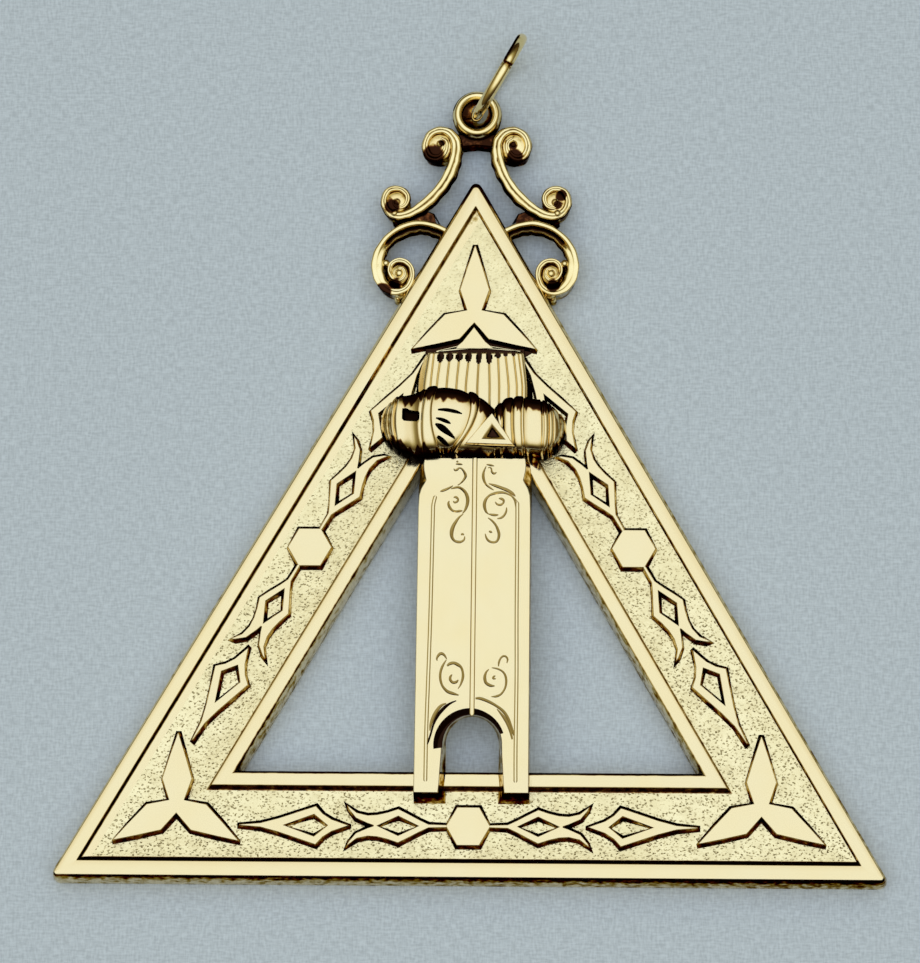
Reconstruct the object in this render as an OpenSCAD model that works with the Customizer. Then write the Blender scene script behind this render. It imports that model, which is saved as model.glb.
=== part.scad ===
// Collar jewel of a chapter scribe: an equilateral triangle that carries a plumb rule and a
// turban, under a scroll crest with a loop and a split jump ring. Cast and gold plated.
// It lies on its back on z = 0. The origin is on the back, in the middle of the lower side,
// +Y points to the crest and +Z out of the face. All lengths are in millimetres.

/* [Triangle] */
// Outer side of the triangle, corner to corner
side = 70; // [62:1:80]
// Thickness from the back to the rims
frame_t = 3; // [2.6:0.1:3.6]
// Depth of the sunk field below the rims
field_d = 0.6; // [0.3:0.05:0.9]
// Width of the outer rim
rim_w = 1.4; // [1:0.05:2]
// Width of the sunk field between the two rims
field_w = 6.35; // [5.9:0.05:7]
// Width of the inner rim
inner_w = 1.25; // [1:0.05:1.6]
// Rounding of the corner under the crest
tip_r = 0.9; // [0.5:0.1:1.3]
// Rounding of the two lower corners
corner_r = 0.4; // [0.2:0.1:1]

/* [Ornament] */
// Plain field left above and below the lozenges
orn_margin = 1.35; // [1.1:0.05:1.6]
// Hexagon, centre to corner
hex_r = 1.95; // [1.5:0.05:2.2]
// Distance from the triangle's corner to the middle of its three leaves
leaf_in = 12.2; // [11.5:0.1:13]
// Length of one leaf from the middle of the three
leaf_len = 6.05; // [5:0.05:6.5]
// Half the width of a leaf
leaf_half = 1.3; // [1:0.05:1.6]

/* [Crest] */
// Height of the loop's centre above the triangle's sharp corner
loop_rise = 5.75; // [5.3:0.05:6.2]
// Radius of the hole in the loop
loop_hole_r = 1.36; // [1.3:0.02:1.6]
// Width of the loop's band
loop_band = 0.82; // [0.5:0.02:0.9]
// Depth of the loop's band, front to back
loop_depth = 1.2; // [0.8:0.05:1.3]
// Height of the loop's front above the jewel's back
loop_front = 2.8; // [2.6:0.05:3]
// Height of the crest's back above the jewel's back
crest_back = 0.3; // [0:0.05:0.6]
// Height of the scrolls' ridges above the jewel's back
crest_front = 2.8; // [2.4:0.05:3]
// Depth of the scrolls' ground below their ridges
scroll_sink = 0.5; // [0.3:0.05:0.8]
// Width of an S scroll at its middle
s_w = 1.05; // [0.8:0.05:1.3]
// Width of a C scroll at its middle
c_w = 0.9; // [0.7:0.05:1.1]
// Width of the ridges inside the volutes
volute_w = 0.5; // [0.4:0.02:0.55]
// Middle of the S scroll's upper volute, sideways from the middle line
s_top_x = 2.95; // [2.8:0.05:3.1]
// Its height above the triangle's sharp corner
s_top_rise = 2.85; // [2.6:0.05:3]
// Radius of the S scroll's upper volute
s_top_r = 1.6; // [1.4:0.05:1.8]
// Middle of the S scroll's lower volute, sideways from the middle line
s_low_x = 6.75; // [6.5:0.05:7]
// Its depth below the triangle's sharp corner
s_low_drop = 2.1; // [1.9:0.05:2.3]
// Radius of the S scroll's lower volute
s_low_r = 1.35; // [1.2:0.05:1.5]
// Middle of the C scroll's volute, sideways from the middle line
c_low_x = 6.6; // [6.4:0.05:6.8]
// Its depth below the triangle's sharp corner
c_low_drop = 8.2; // [8:0.05:8.4]
// Radius of the C scroll's volute
c_low_r = 1.35; // [1.2:0.05:1.5]

/* [Plumb rule] */
// How far the rule and turban sit to the right of the middle
emblem_x = 0.26; // [-0.5:0.02:0.5]
// Width of the rule
rule_w = 9.6; // [9:0.1:10.2]
// Width of the rule's neck at its upper end
neck_w = 8.5; // [8:0.1:9]
// Depth of the notch below the neck, on each side
notch_d = 0.15; // [0.05:0.01:0.3]
// Swell of the neck between its upper edge and the notch
neck_swell = 0.08; // [0.02:0.01:0.15]
// Height of the rule's neck
neck_h = 2; // [1.6:0.1:2.6]
// Height of the opening's upper corner above the rule's upper edge
tip_cover = 7.08; // [6.9:0.02:7.3]
// How far the feet reach over the field
foot_over = 0.85; // [0.6:0.05:1.2]
// Thickness of the rule
rule_t = 1.55; // [1.3:0.05:2]
// Half the width of the arch between the feet
arch_r = 2.95; // [2.6:0.05:3.2]
// Height of the arch's spring line above the feet's lower ends
arch_rise = 4.25; // [3.6:0.05:5]
// Distance of the engraved border from the rule's edge
border_in = 1; // [0.8:0.05:1.3]
// Width of an engraved border
border_w = 0.3; // [0.2:0.02:0.4]
// Depth of an engraved border
border_d = 0.12; // [0.05:0.01:0.3]
// Radius of the raised plumb line
line_r = 0.22; // [0.15:0.01:0.35]
// Thickness of the hidden tongue under the turban
tongue_t = 0.7; // [0.5:0.05:1]

/* [Turban] */
// Height of the turban's highest fold above the jewel's back
turban_top = 7.1; // [6.5:0.1:7.6]
// Half the width of the ribbed cap at its upper edge
cap_top_half = 3.75; // [3.4:0.05:4.1]
// Half the width of the ribbed cap where it meets the folds
cap_low_half = 4.4; // [4:0.05:4.8]
// Height of the cap's face above the jewel's back
cap_front = 4.9; // [4.4:0.1:5.4]
// Length of the cap above the folds' middle line
cap_len = 7; // [6.5:0.1:7.2]
// Fall of the cap's upper edge from its middle to its sides
cap_drop = 0.75; // [0.5:0.05:1]
// Distance of the ribs' ends from the cap's upper edge
rib_end = 0.35; // [0.2:0.05:0.6]
// Number of ribs on the cap
ribs = 13; // [9:2:15]
// Height of the folds' middle line above the rule's upper edge
folds_rise = 2.3; // [2.1:0.05:2.5]
// Largest radius of the folds on the left
left_r = 3.35; // [3:0.05:3.5]
// Largest radius of the folds on the right
right_r = 2.95; // [2.6:0.05:3.2]
// Length of the folds on the left of the middle
left_len = 7.75; // [7:0.05:8.2]
// Length of the folds on the right of the middle
right_len = 7.6; // [7:0.05:8.2]
// Depth of the creases between folds
crease_d = 0.16; // [0.08:0.02:0.3]
// Width of the small triangle badge
badge_w = 3.9; // [3.2:0.1:4.4]
// Height of the badge's face above the jewel's back
badge_front = 7; // [6.4:0.1:7.4]
// Depth of the small triangle sunk in the badge
badge_sink = 0.35; // [0.2:0.05:0.6]

/* [Rivets] */
// Radius of a rivet's pin
pin_r = 0.6; // [0.45:0.05:0.7]
// Radius of a rivet's head at the back
head_r = 1.1; // [0.9:0.05:1.25]
// Thickness of a rivet's head
head_t = 0.6; // [0.4:0.05:0.8]

/* [Jump ring] */
// Thickness of the ring's wire
wire_d = 0.96; // [0.8:0.02:1.1]
// Outer diameter of the ring
ring_od = 8.7; // [8.4:0.05:9]
// Turn of the ring to the right of the middle line, in degrees
ring_turn = 28.8; // [0:0.2:60]
// Lean of the standing ring over to the right, in degrees
ring_lean = 9.9; // [0:0.1:15]
// How far the ring's wire reaches past the loop's centre
ring_past = 1.05; // [0.9:0.05:1.3]
// Opening of the split in the ring, in degrees
ring_split = 1.5; // [0.5:0.5:4]
// Place of the split past the ring's highest point, in degrees
split_at = 7; // [0:1:30]

/* [Fit] */
// Gap between two pieces that lie on each other
gap = 0.04; // [0.02:0.01:0.08]
// Gap between a rivet's pin and its hole
pin_gap = 0.05; // [0.03:0.01:0.1]

/* [Hidden] */
gold = [0.86, 0.70, 0.36];
embed = 0.3;
past = 1;

// Heights along Y are counted from the middle of the triangle, and the whole is then placed
// with the middle of its lower side at the origin
corner = side / sqrt(3);
band_w = rim_w + field_w + inner_w;
field_z = frame_t - field_d;
edge_y = -corner / 2;
field_low_y = edge_y + rim_w;
inner_low_y = edge_y + rim_w + field_w;
open_low_y = edge_y + band_w;
low_side_y = edge_y + band_w / 2;

// The ornament's middle line, its half height and the half length of one run
orn_shift = 0.18;
orn_y = field_low_y + field_w / 2 + orn_shift;
orn_half = field_w / 2 - orn_margin;
leaf_c = corner - leaf_in;
orn_len = (leaf_c - leaf_len) * cos(30);

// Half outline of the pointed lozenge: [share of the run, share of the half height]
LOZENGE = [[0.52, 0], [0.592, 0.31], [0.632, 0.59], [0.664, 1], [0.75, 0.66], [0.828, 0.37],
           [0.906, 0.14], [1, 0.05], [1, 0]];
// The sunk diamond in the pointed lozenge
LOZENGE_EYE = [[0.616, 0], [0.672, 0.5], [0.8, 0]];
// Half outline of the forked lozenge
FORK = [[0.09, 0.12], [0.172, 0.14], [0.211, 0.31], [0.258, 0.59], [0.305, 0.85], [0.352, 0.7],
        [0.396, 0.58], [0.438, 0.56], [0.484, 0.68], [0.529, 1], [0.524, 0.86], [0.49, 0.38],
        [0.438, 0.1], [0.414, 0]];
// The sunk diamond in the forked lozenge
FORK_EYE = [[0.219, 0], [0.305, 0.45], [0.393, 0]];
// One leaf of three: [share of the length, share of the half width]
LEAF = [[0.064, 0.53], [0.36, 1], [1, 0.05]];

// Crest, measured from the triangle's sharp corner
s_top_c = [s_top_x, corner + s_top_rise];
s_low_c = [s_low_x, corner - s_low_drop];
c_low_c = [c_low_x, corner - c_low_drop];
loop_c = [0, corner + loop_rise];
loop_r = loop_hole_r + loop_band;
ground_front = crest_front - scroll_sink;
// Middle line of the C scroll about its volute: [turn in degrees, share of the volute's radius]
C_TURNS = [[-540, 0.33], [-450, 0.46], [-360, 0.6], [-270, 0.74], [-180, 0.85], [-110, 1.1],
           [-70, 1.24], [-34, 1.3], [14, 1.38], [51, 1.68], [87, 2.38], [112, 3.08], [134, 3.5],
           [142, 3.8]];
// Middle line of an S scroll's volute: [turn in degrees, share of the volute's radius]
S_TURNS = [[0, 0.7], [90, 0.76], [180, 0.76], [270, 0.7]];
s_turn = 252;

// The rule and the turban, in their own frame whose x = 0 is their middle
rule_top = corner - 2 * band_w - tip_cover;
rule_z = frame_t + gap;
rule_front = rule_z + rule_t;
foot_y = inner_low_y - foot_over;
arch_y = foot_y + arch_rise;
line_past_arch = 0.45;
line_end = arch_y + arch_r - line_past_arch;
border_end_y = foot_y + 1.1;
border_top_y = rule_top - neck_h - 1.3;
tongue_up = 3.2;
tongue_half = 3.3;
turban_z = frame_t + gap;
turban_y = rule_top + gap;
lower_half = neck_w / 2 + neck_swell + gap;
folds_y = rule_top + folds_rise;
folds_z = turban_top - left_r;
badge_y = rule_top + 0.75;
badge_x = 1.3;

// Folds along the turban: [share of the length, share of the largest radius]
LEFT_FOLDS = [[-1, 0.2], [-0.94, 0.58], [-0.86, 0.76], [-0.76, 0.9], [-0.6, 0.99], [-0.48, 1], [-0.36, 1],
              [-0.2, 1], [0, 0.97], [0.1, 0.9], [0.2, 0.72]];
LEFT_CREASES = [2, 5, 7];
RIGHT_FOLDS = [[0.15, 0.5], [0.26, 0.78], [0.37, 0.93], [0.45, 0.98], [0.53, 1], [0.65, 1], [0.76, 0.96],
               [0.83, 0.88], [0.89, 0.78], [0.94, 0.62], [1, 0.25]];
RIGHT_CREASES = [2, 4, 6, 8];

// Rivets: on the inner rim under the feet, and under the turban's folds
foot_pin = [(rule_w / 2 + arch_r) / 2, (inner_low_y + open_low_y) / 2];
turban_pin = [5.1, folds_y];
pin_cover = 0.45;
foot_pin_top = rule_front - pin_cover;
turban_pin_top = folds_z + 1.2;

// Jump ring: it stands on the same surface as the jewel, leans over, and its lower part
// passes through the middle of the loop
ring_r = (ring_od - wire_d) / 2;
ring_z = ring_r * cos(ring_lean) + wire_d / 2;
ring_reach = ring_od / 2 - ring_past;
ring_side = (ring_z - loop_front + loop_depth / 2) * tan(ring_lean);

function polar(r, a) = [r * cos(a), r * sin(a)];
function unit(v) = v / norm(v);
function flip(list) = [for (i = [len(list) - 1 : -1 : 0]) list[i]];
function triangle(r) = [for (a = [90, 210, 330]) polar(r, a)];
function corner_arc(a, r, n = 6) =
    [for (i = [0 : n]) polar(corner - 2 * r, a) + polar(r, a - 60 + 120 * i / n)];
function stretch(table, l, h) = [for (p = table) [p[0] * l, p[1] * h]];
function both_sides(half) = concat(half, flip([for (p = half) if (p[1] > 0) [p[0], -p[1]]]));
function bezier(a, b, c, d, t) =
    a * pow(1 - t, 3) + 3 * b * t * pow(1 - t, 2) + 3 * c * t * t * (1 - t) + d * pow(t, 3);
function turns(c, r, table, first, last, start, hand, step = 18) =
    [for (a = [first : step : last]) c + polar(r * lookup(a, table), start + hand * a)];
// Outline of a stroke along a path, with its own width at each point
function edge(path, widths, s) =
    [for (i = [0 : len(path) - 1])
        let (d = unit(path[min(i + 1, len(path) - 1)] - path[max(i - 1, 0)]))
        path[i] + s * widths[i] / 2 * [-d[1], d[0]]];
function stroke(path, widths) = concat(edge(path, widths, 1), flip(edge(path, widths, -1)));

// One run of ornament, on the lower side and from its middle to the right
module half_run() {
    translate([0, orn_y, field_z - embed]) {
        linear_extrude(field_d + embed) difference() {
            polygon(both_sides(stretch(LOZENGE, orn_len, orn_half)));
            polygon(both_sides(stretch(LOZENGE_EYE, orn_len, orn_half)));
        }
        linear_extrude(field_d + embed) difference() {
            polygon(both_sides(stretch(FORK, orn_len, orn_half)));
            polygon(both_sides(stretch(FORK_EYE, orn_len, orn_half)));
        }
    }
}

module leaves() {
    translate([0, leaf_c, field_z - embed]) for (a = [90, 210, 330]) rotate(a)
        linear_extrude(field_d + embed)
            polygon(concat([[0, 0]], both_sides(stretch(LEAF, leaf_len, leaf_half))));
}

module ornament() {
    for (a = [0, 120, 240]) rotate(a) {
        half_run();
        mirror([1, 0, 0]) half_run();
        translate([0, orn_y, field_z - embed]) linear_extrude(field_d + embed) circle(hex_r, $fn = 6);
        leaves();
    }
}

module triangle_plate() {
    difference() {
        linear_extrude(frame_t)
            polygon(concat(corner_arc(90, tip_r), corner_arc(210, corner_r), corner_arc(330, corner_r)));
        translate([0, 0, field_z]) linear_extrude(field_d + past) difference() {
            polygon(triangle(corner - 2 * rim_w));
            polygon(triangle(corner - 2 * (rim_w + field_w)));
        }
        translate([0, 0, -past]) linear_extrude(frame_t + 2 * past) polygon(triangle(corner - 2 * band_w));
    }
}

module volute(c, r) {
    translate([c[0], c[1], crest_back]) {
        cylinder(h = ground_front - crest_back, r = r, $fn = 32);
        cylinder(h = crest_front - crest_back, r = r * 0.22, $fn = 24);
    }
}

module scroll(path, widths) {
    translate([0, 0, crest_back]) linear_extrude(crest_front - crest_back) polygon(stroke(path, widths));
}

module s_scroll() {
    top_turns = turns(s_top_c, s_top_r, S_TURNS, 0, s_turn, 180, -1);
    low_turns = turns(s_low_c, s_low_r, S_TURNS, 0, s_turn, 235, 1);
    from = top_turns[0];
    to = low_turns[0];
    middle = [for (t = [0.12 : 0.11 : 0.9])
        bezier(from, from + [-0.03, -1.5] * s_top_r, to + [-1.63, 0.89] * s_low_r, to, t)];
    n_turn = len(top_turns);
    turn_widths = [for (i = [0 : n_turn - 1]) s_w * 0.75 + (volute_w - s_w * 0.75) * min(1, i / 8)];
    middle_widths = [for (i = [0 : len(middle) - 1]) s_w];
    scroll(concat(flip(top_turns), middle, low_turns),
           concat(flip(turn_widths), middle_widths, turn_widths));
    volute(s_top_c, s_top_r);
    volute(s_low_c, s_low_r);
}

module c_scroll() {
    path = turns(c_low_c, c_low_r, C_TURNS, -486, 142, 0, 1, 15.7);
    widths = [for (i = [0 : len(path) - 1])
        volute_w + (c_w - volute_w) * min(1, max(0, (i - 20) / 6))];
    scroll(path, widths);
    volute(c_low_c, c_low_r);
    // Solder between the volute and the triangle
    translate([0, 0, crest_back]) linear_extrude(ground_front - crest_back)
        polygon([for (p = [[0, 0], [-0.89, 0.3], [-1.41, -0.67], [-0.07, -1.93]]) c_low_c + p * c_low_r]);
}

module loop() {
    translate([loop_c[0], loop_c[1], loop_front - loop_depth / 2]) rotate_extrude($fn = 64)
        polygon([for (a = [0 : 30 : 330])
            [loop_hole_r + loop_band / 2 + cos(a) * loop_band / 2, sin(a) * loop_depth / 2]]);
}

module crest() {
    loop();
    for (m = [0, 1]) mirror([m, 0, 0]) {
        s_scroll();
        c_scroll();
        // Feet of the loop, and solder between the S and C scrolls
        translate([0, 0, crest_back]) linear_extrude(ground_front - crest_back) {
            polygon([loop_c + polar(loop_hole_r + loop_band * 0.3, -50), loop_c + polar(loop_r, -20),
                     s_top_c + [-0.94, 0.31] * s_top_r, s_top_c + [-0.88, -0.25] * s_top_r]);
            polygon([for (p = [[-0.15, -0.44], [-1.26, -0.67], [-1.19, -1.7], [-0.15, -1.78]])
                     s_low_c + p * s_low_r]);
        }
    }
}

module pin_hole(p, r, low, high) {
    translate([emblem_x + p[0], p[1], low]) cylinder(h = high - low, r = r, $fn = 32);
}

module frame() {
    color(gold) difference() {
        union() {
            triangle_plate();
            ornament();
            crest();
        }
        for (s = [-1, 1]) for (p = [foot_pin, turban_pin]) {
            pin_hole([s * p[0], p[1]], pin_r + pin_gap, -past, frame_t + past);
            pin_hole([s * p[0], p[1]], head_r + pin_gap, -past, head_t + pin_gap);
        }
    }
}

function rule_side() = [
    [neck_w / 2, rule_top],
    [neck_w / 2 + neck_swell, rule_top - neck_h * 0.3],
    [neck_w / 2 - notch_d, rule_top - neck_h],
    [rule_w / 2 - 0.2, rule_top - neck_h - 0.35],
    [rule_w / 2, rule_top - neck_h - 1.1],
    [rule_w / 2, foot_y]];

module plumb_rule() {
    side_pts = rule_side();
    color(gold) translate([emblem_x, 0, 0]) difference() {
        union() {
            translate([0, 0, rule_z]) linear_extrude(rule_t)
                polygon(concat(side_pts, flip([for (p = side_pts) [-p[0], p[1]]])));
            // The hidden tongue that carries the upper end on the inner rim
            translate([-tongue_half, rule_top - 1, rule_z]) cube([2 * tongue_half, 1 + tongue_up, tongue_t]);
            // The feet's ends reach down to the field
            for (s = [-1, 1]) translate([s > 0 ? arch_r : -rule_w / 2, foot_y, field_z + gap])
                cube([rule_w / 2 - arch_r, foot_over - gap, rule_t]);
            // The raised plumb line
            intersection() {
                translate([0, line_end, rule_front]) rotate([-90, 0, 0])
                    cylinder(h = rule_top - line_end, r = line_r, $fn = 24);
                translate([-past, line_end, rule_z]) cube([2 * past, rule_top - line_end, rule_t + past]);
            }
        }
        // The arch between the feet, which leaves the end of the plumb line
        translate([0, arch_y, field_z - past]) linear_extrude(rule_t + 3 * past) difference() {
            union() {
                circle(arch_r, $fn = 48);
                translate([-arch_r, foot_y - arch_y - past]) square([2 * arch_r, arch_y - foot_y + past]);
            }
            translate([-line_r, line_end - arch_y]) square([2 * line_r, arch_r]);
        }
        // Engraved borders down each side, and over the arch
        for (s = [-1, 1])
            translate([s * (rule_w / 2 - border_in) - border_w / 2, border_end_y, rule_front - border_d])
                cube([border_w, border_top_y - border_end_y, past]);
        translate([0, arch_y, rule_front - border_d]) difference() {
            cylinder(h = past, r = arch_r + border_in, $fn = 48);
            translate([0, 0, -past]) cylinder(h = 3 * past, r = arch_r + border_in - border_w, $fn = 48);
            translate([-rule_w, -rule_w - 0.01, -past]) cube([2 * rule_w, rule_w, 3 * past]);
            translate([-line_r * 1.6, 0, -past]) cube([line_r * 3.2, rule_w, 3 * past]);
        }
        for (s = [-1, 1]) translate([s * foot_pin[0], foot_pin[1], 0])
            cylinder(h = foot_pin_top + gap, r = pin_r + pin_gap, $fn = 32);
    }
}

// Folds wound round a level line: a turned shape with a crease between each two folds
module folds(table, creases, l, r) {
    outline = [for (i = [0 : len(table) - 1])
        let (crease = len(search(i, creases)) > 0 ? crease_d : 0)
        [table[i][1] * r - crease, table[i][0] * l]];
    translate([0, folds_y, folds_z]) rotate([0, 90, 0]) rotate([0, 0, 90]) rotate_extrude($fn = 48)
        polygon(concat([[0, outline[0][1]]], outline, [[0, outline[len(outline) - 1][1]]]));
}

module cap() {
    cap_y = folds_y + cap_len;
    translate([0, 0, turban_z]) linear_extrude(cap_front - turban_z) polygon([
        [-cap_low_half, folds_y], [-cap_low_half, folds_y + cap_len * 0.37],
        [-cap_top_half, cap_y - cap_drop], [-cap_top_half * 0.5, cap_y - cap_drop / 4], [0, cap_y],
        [cap_top_half * 0.5, cap_y - cap_drop / 4], [cap_top_half, cap_y - cap_drop],
        [cap_low_half, folds_y + cap_len * 0.37], [cap_low_half, folds_y]]);
    for (i = [0 : ribs - 1]) {
        t = 2 * (i + 0.5) / ribs - 1;
        fan = atan((cap_low_half - cap_top_half) * t / cap_len);
        translate([cap_low_half * t, folds_y, cap_front]) rotate([-90, 0, 0]) rotate([0, -fan, 0])
            cylinder(h = cap_len - rib_end - cap_drop * 0.8 * t * t,
                     r = cap_top_half / ribs * 0.96, $fn = 24);
    }
}

module badge() {
    translate([badge_x, badge_y, turban_z]) difference() {
        linear_extrude(badge_front - turban_z)
            polygon([[-badge_w / 2, 0], [badge_w / 2, 0], [0.05 * badge_w, badge_w * 0.7]]);
        translate([0.02 * badge_w, badge_w * 0.12, badge_front - turban_z - badge_sink]) linear_extrude(past)
            polygon([[-badge_w * 0.2, 0], [badge_w * 0.2, 0], [0, badge_w * 0.35]]);
    }
}

module turban() {
    color(gold) translate([emblem_x, 0, 0]) difference() {
        union() {
            folds(LEFT_FOLDS, LEFT_CREASES, left_len, left_r);
            folds(RIGHT_FOLDS, RIGHT_CREASES, right_len, right_r);
            cap();
            badge();
        }
        translate([-side / 2, 0, -past]) cube([side, side / 2, turban_z + past]);
        // Over the rule the lower edge is straight, just clear of the rule's upper edge
        translate([-lower_half, 0, -past]) cube([2 * lower_half, turban_y, turban_top + 2 * past]);
        // Seat for the rule's tongue
        translate([-tongue_half - gap, 0, -past])
            cube([2 * (tongue_half + gap), rule_top + tongue_up + gap, rule_z + tongue_t + gap + past]);
        for (s = [-1, 1]) translate([s * turban_pin[0], turban_pin[1], 0])
            cylinder(h = turban_pin_top + gap, r = pin_r + pin_gap, $fn = 32);
    }
}

module rivet(p, top) {
    color(gold) translate([emblem_x + p[0], p[1], pin_gap]) {
        cylinder(h = head_t - pin_gap, r = head_r, $fn = 32);
        cylinder(h = top - pin_gap, r = pin_r, $fn = 32);
    }
}

module jump_ring() {
    split_from = split_at + ring_split / 2;
    color(gold) translate([loop_c[0], loop_c[1], 0]) rotate(-ring_turn)
        translate([ring_side, ring_reach, ring_z]) rotate([0, ring_lean, 0]) rotate([90, 0, 90])
            rotate(90 - split_from) mirror([0, 1, 0]) rotate_extrude(angle = 360 - ring_split, $fn = 72)
                translate([ring_r, 0]) circle(wire_d / 2, $fn = 24);
}

module place() {
    translate([0, -low_side_y, 0]) children();
}

place() frame();
place() plumb_rule();
place() turban();
place() rivet([-foot_pin[0], foot_pin[1]], foot_pin_top);  // rivet_foot_left
place() rivet(foot_pin, foot_pin_top);  // rivet_foot_right
place() rivet([-turban_pin[0], turban_pin[1]], turban_pin_top);  // rivet_turban_left
place() rivet(turban_pin, turban_pin_top);  // rivet_turban_right
place() jump_ring();
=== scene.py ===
# A gilt collar jewel lying on its back: the cast triangle with its scroll crest comes first,
# then the plumb rule and the turban that are riveted over it, the jump ring and the rivets.
import bpy
import bmesh
from math import cos, sin, pi, radians, sqrt, hypot, copysign
from mathutils import Vector, Matrix


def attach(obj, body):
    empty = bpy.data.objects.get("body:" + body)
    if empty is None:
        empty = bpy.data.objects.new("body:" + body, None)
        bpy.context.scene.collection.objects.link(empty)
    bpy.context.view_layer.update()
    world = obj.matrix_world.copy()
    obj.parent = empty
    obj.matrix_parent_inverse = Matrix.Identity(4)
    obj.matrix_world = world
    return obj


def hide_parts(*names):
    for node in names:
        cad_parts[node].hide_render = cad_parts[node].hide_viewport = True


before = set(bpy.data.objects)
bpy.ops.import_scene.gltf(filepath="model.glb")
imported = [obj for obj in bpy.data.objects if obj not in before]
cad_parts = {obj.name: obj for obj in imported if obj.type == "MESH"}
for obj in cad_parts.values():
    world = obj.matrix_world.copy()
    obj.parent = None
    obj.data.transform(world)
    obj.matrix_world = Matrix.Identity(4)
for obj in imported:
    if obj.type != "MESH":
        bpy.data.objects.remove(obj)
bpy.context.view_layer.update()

# Camera
# It looks down from the front at 78 degrees, as the photograph does, with a long lens.
camera = bpy.data.objects.new("camera", bpy.data.cameras.new("camera"))
bpy.context.scene.collection.objects.link(camera)
bpy.context.scene.camera = camera
camera.data.lens = 186.916
camera.data.clip_start = 0.02
camera.location = (0.015041, -0.060509, 0.416804)
camera.rotation_euler = (radians(12.2686), radians(2.0701), radians(0.7194))

# Table and light
# A plain pale blue-grey cloth, and a bright soft ceiling over a room that is dark lower down.
CLOTH_COLOUR = (0.68, 0.745, 0.775)
# [sine of the elevation, colour], towards the room's ends and towards its sides
ROOM_ENDS = [(0.0, (0.03, 0.02, 0.012)), (0.3, (0.035, 0.022, 0.012)), (0.5, (0.10, 0.08, 0.04)),
             (0.66, (0.46, 0.44, 0.27)), (0.82, (0.98, 1.04, 1.1)), (0.94, (1.08, 1.22, 1.46))]
ROOM_SIDES = [(0.0, (0.10, 0.07, 0.03)), (0.25, (0.22, 0.17, 0.07)), (0.5, (0.40, 0.36, 0.19)),
              (0.66, (0.62, 0.60, 0.42)), (0.82, (0.98, 1.04, 1.1)), (0.94, (1.08, 1.22, 1.46))]


def feed(node, sockets):
    """Sets the node's sockets to values, or links them where an output is given."""
    for socket, value in sockets.items():
        if isinstance(value, bpy.types.NodeSocket):
            node.id_data.links.new(value, node.inputs[socket])
        else:
            node.inputs[socket].default_value = value


def add_node(tree, kind, sockets={}, **settings):
    """A new node with its settings and its sockets fed."""
    node = tree.nodes.new("ShaderNode" + kind)
    for name, value in settings.items():
        setattr(node, name, value)
    feed(node, sockets)
    return node


def noise(tree, place, scale, detail, rough=0.5):
    return add_node(tree, "TexNoise", {"Vector": place, "Scale": scale, "Detail": detail,
                                       "Roughness": rough}).outputs["Fac"]


def spread(tree, value, low, high, to_low=0, to_high=1, **settings):
    """The value, with its range from low to high spread over the other range."""
    return add_node(tree, "MapRange", {"Value": value, "From Min": low, "From Max": high, "To Min": to_low,
                                       "To Max": to_high}, **settings).outputs["Result"]


def reckon(tree, operation, *values):
    return add_node(tree, "Math", dict(enumerate(values)), operation=operation).outputs[0]


def mixed(tree, share, a, b, blend="MIX"):
    """The colour a, with its share of b."""
    return add_node(tree, "Mix", {"Factor": share, "A": a, "B": b}, data_type="RGBA",
                    blend_type=blend).outputs["Result"]


def ramp(tree, value, stops):
    """Colours along the value, from [value, colour]."""
    node = add_node(tree, "ValToRGB", {"Fac": value})
    elements = node.color_ramp.elements
    while len(elements) < len(stops):
        elements.new(1)
    for element, (at, colour) in zip(elements, stops):
        element.position = at
        element.color = (*colour, 1)
    return node.outputs["Color"]


table = bmesh.new()
bmesh.ops.create_grid(table, x_segments=1, y_segments=1, size=0.6)
table_mesh = bpy.data.meshes.new("table")
table.to_mesh(table_mesh)
table.free()
table_top = bpy.data.objects.new("table", table_mesh)
bpy.context.scene.collection.objects.link(table_top)
cloth = bpy.data.materials.new("pale_cloth")
cloth.use_nodes = True
# The cloth's weave: a fine uneven grain in its colour and surface
tree = cloth.node_tree
place = add_node(tree, "TexCoord").outputs["Object"]
threads = [noise(tree, add_node(tree, "Mapping", {"Vector": place, "Scale": scale}).outputs[0], 1, 1)
           for scale in ((5500, 1400, 1), (1400, 5500, 1))]
weave = reckon(tree, "ADD", *threads)
light, dark = ([c * share for c in CLOTH_COLOUR] + [1] for share in (1.1, 0.86))
nap = add_node(tree, "Bump", {"Distance": 0.00005, "Strength": 0.5, "Height": weave})
feed(tree.nodes["Principled BSDF"], {
    "Roughness": 0.9, "Specular IOR Level": 0.15, "Normal": nap.outputs["Normal"],
    "Base Color": mixed(tree, spread(tree, weave, 0.7, 1.3), dark, light)})
table_mesh.materials.append(cloth)

world = bpy.data.worlds.new("room")
bpy.context.scene.world = world
world.use_nodes = True
tree = world.node_tree
way = add_node(tree, "SeparateXYZ", {0: add_node(tree, "TexCoord").outputs["Generated"]}).outputs
walls = mixed(tree, reckon(tree, "MULTIPLY", way["X"], way["X"]), ramp(tree, way["Z"], ROOM_ENDS),
              ramp(tree, way["Z"], ROOM_SIDES))
feed(tree.nodes["Background"], {"Color": walls, "Strength": 1.0})
bpy.context.scene.view_settings.view_transform = "Standard"

# Cast triangle
# One casting: a flat equilateral plate with an open middle, a raised rim round the outside and
# another round the opening, and a sunk field between them, stippled with a punch. Gold plated.
MM = 0.001
MIDDLE_Y = 15.707          # of the triangle, above the origin
CORNER = 70 / sqrt(3)      # from the middle to a sharp corner
TOP = 3.0                  # height of the rims
FIELD_END = 7.5            # distance from the outer edge to where the field ends
FIELD = 2.4                # height of the sunk field
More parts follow.
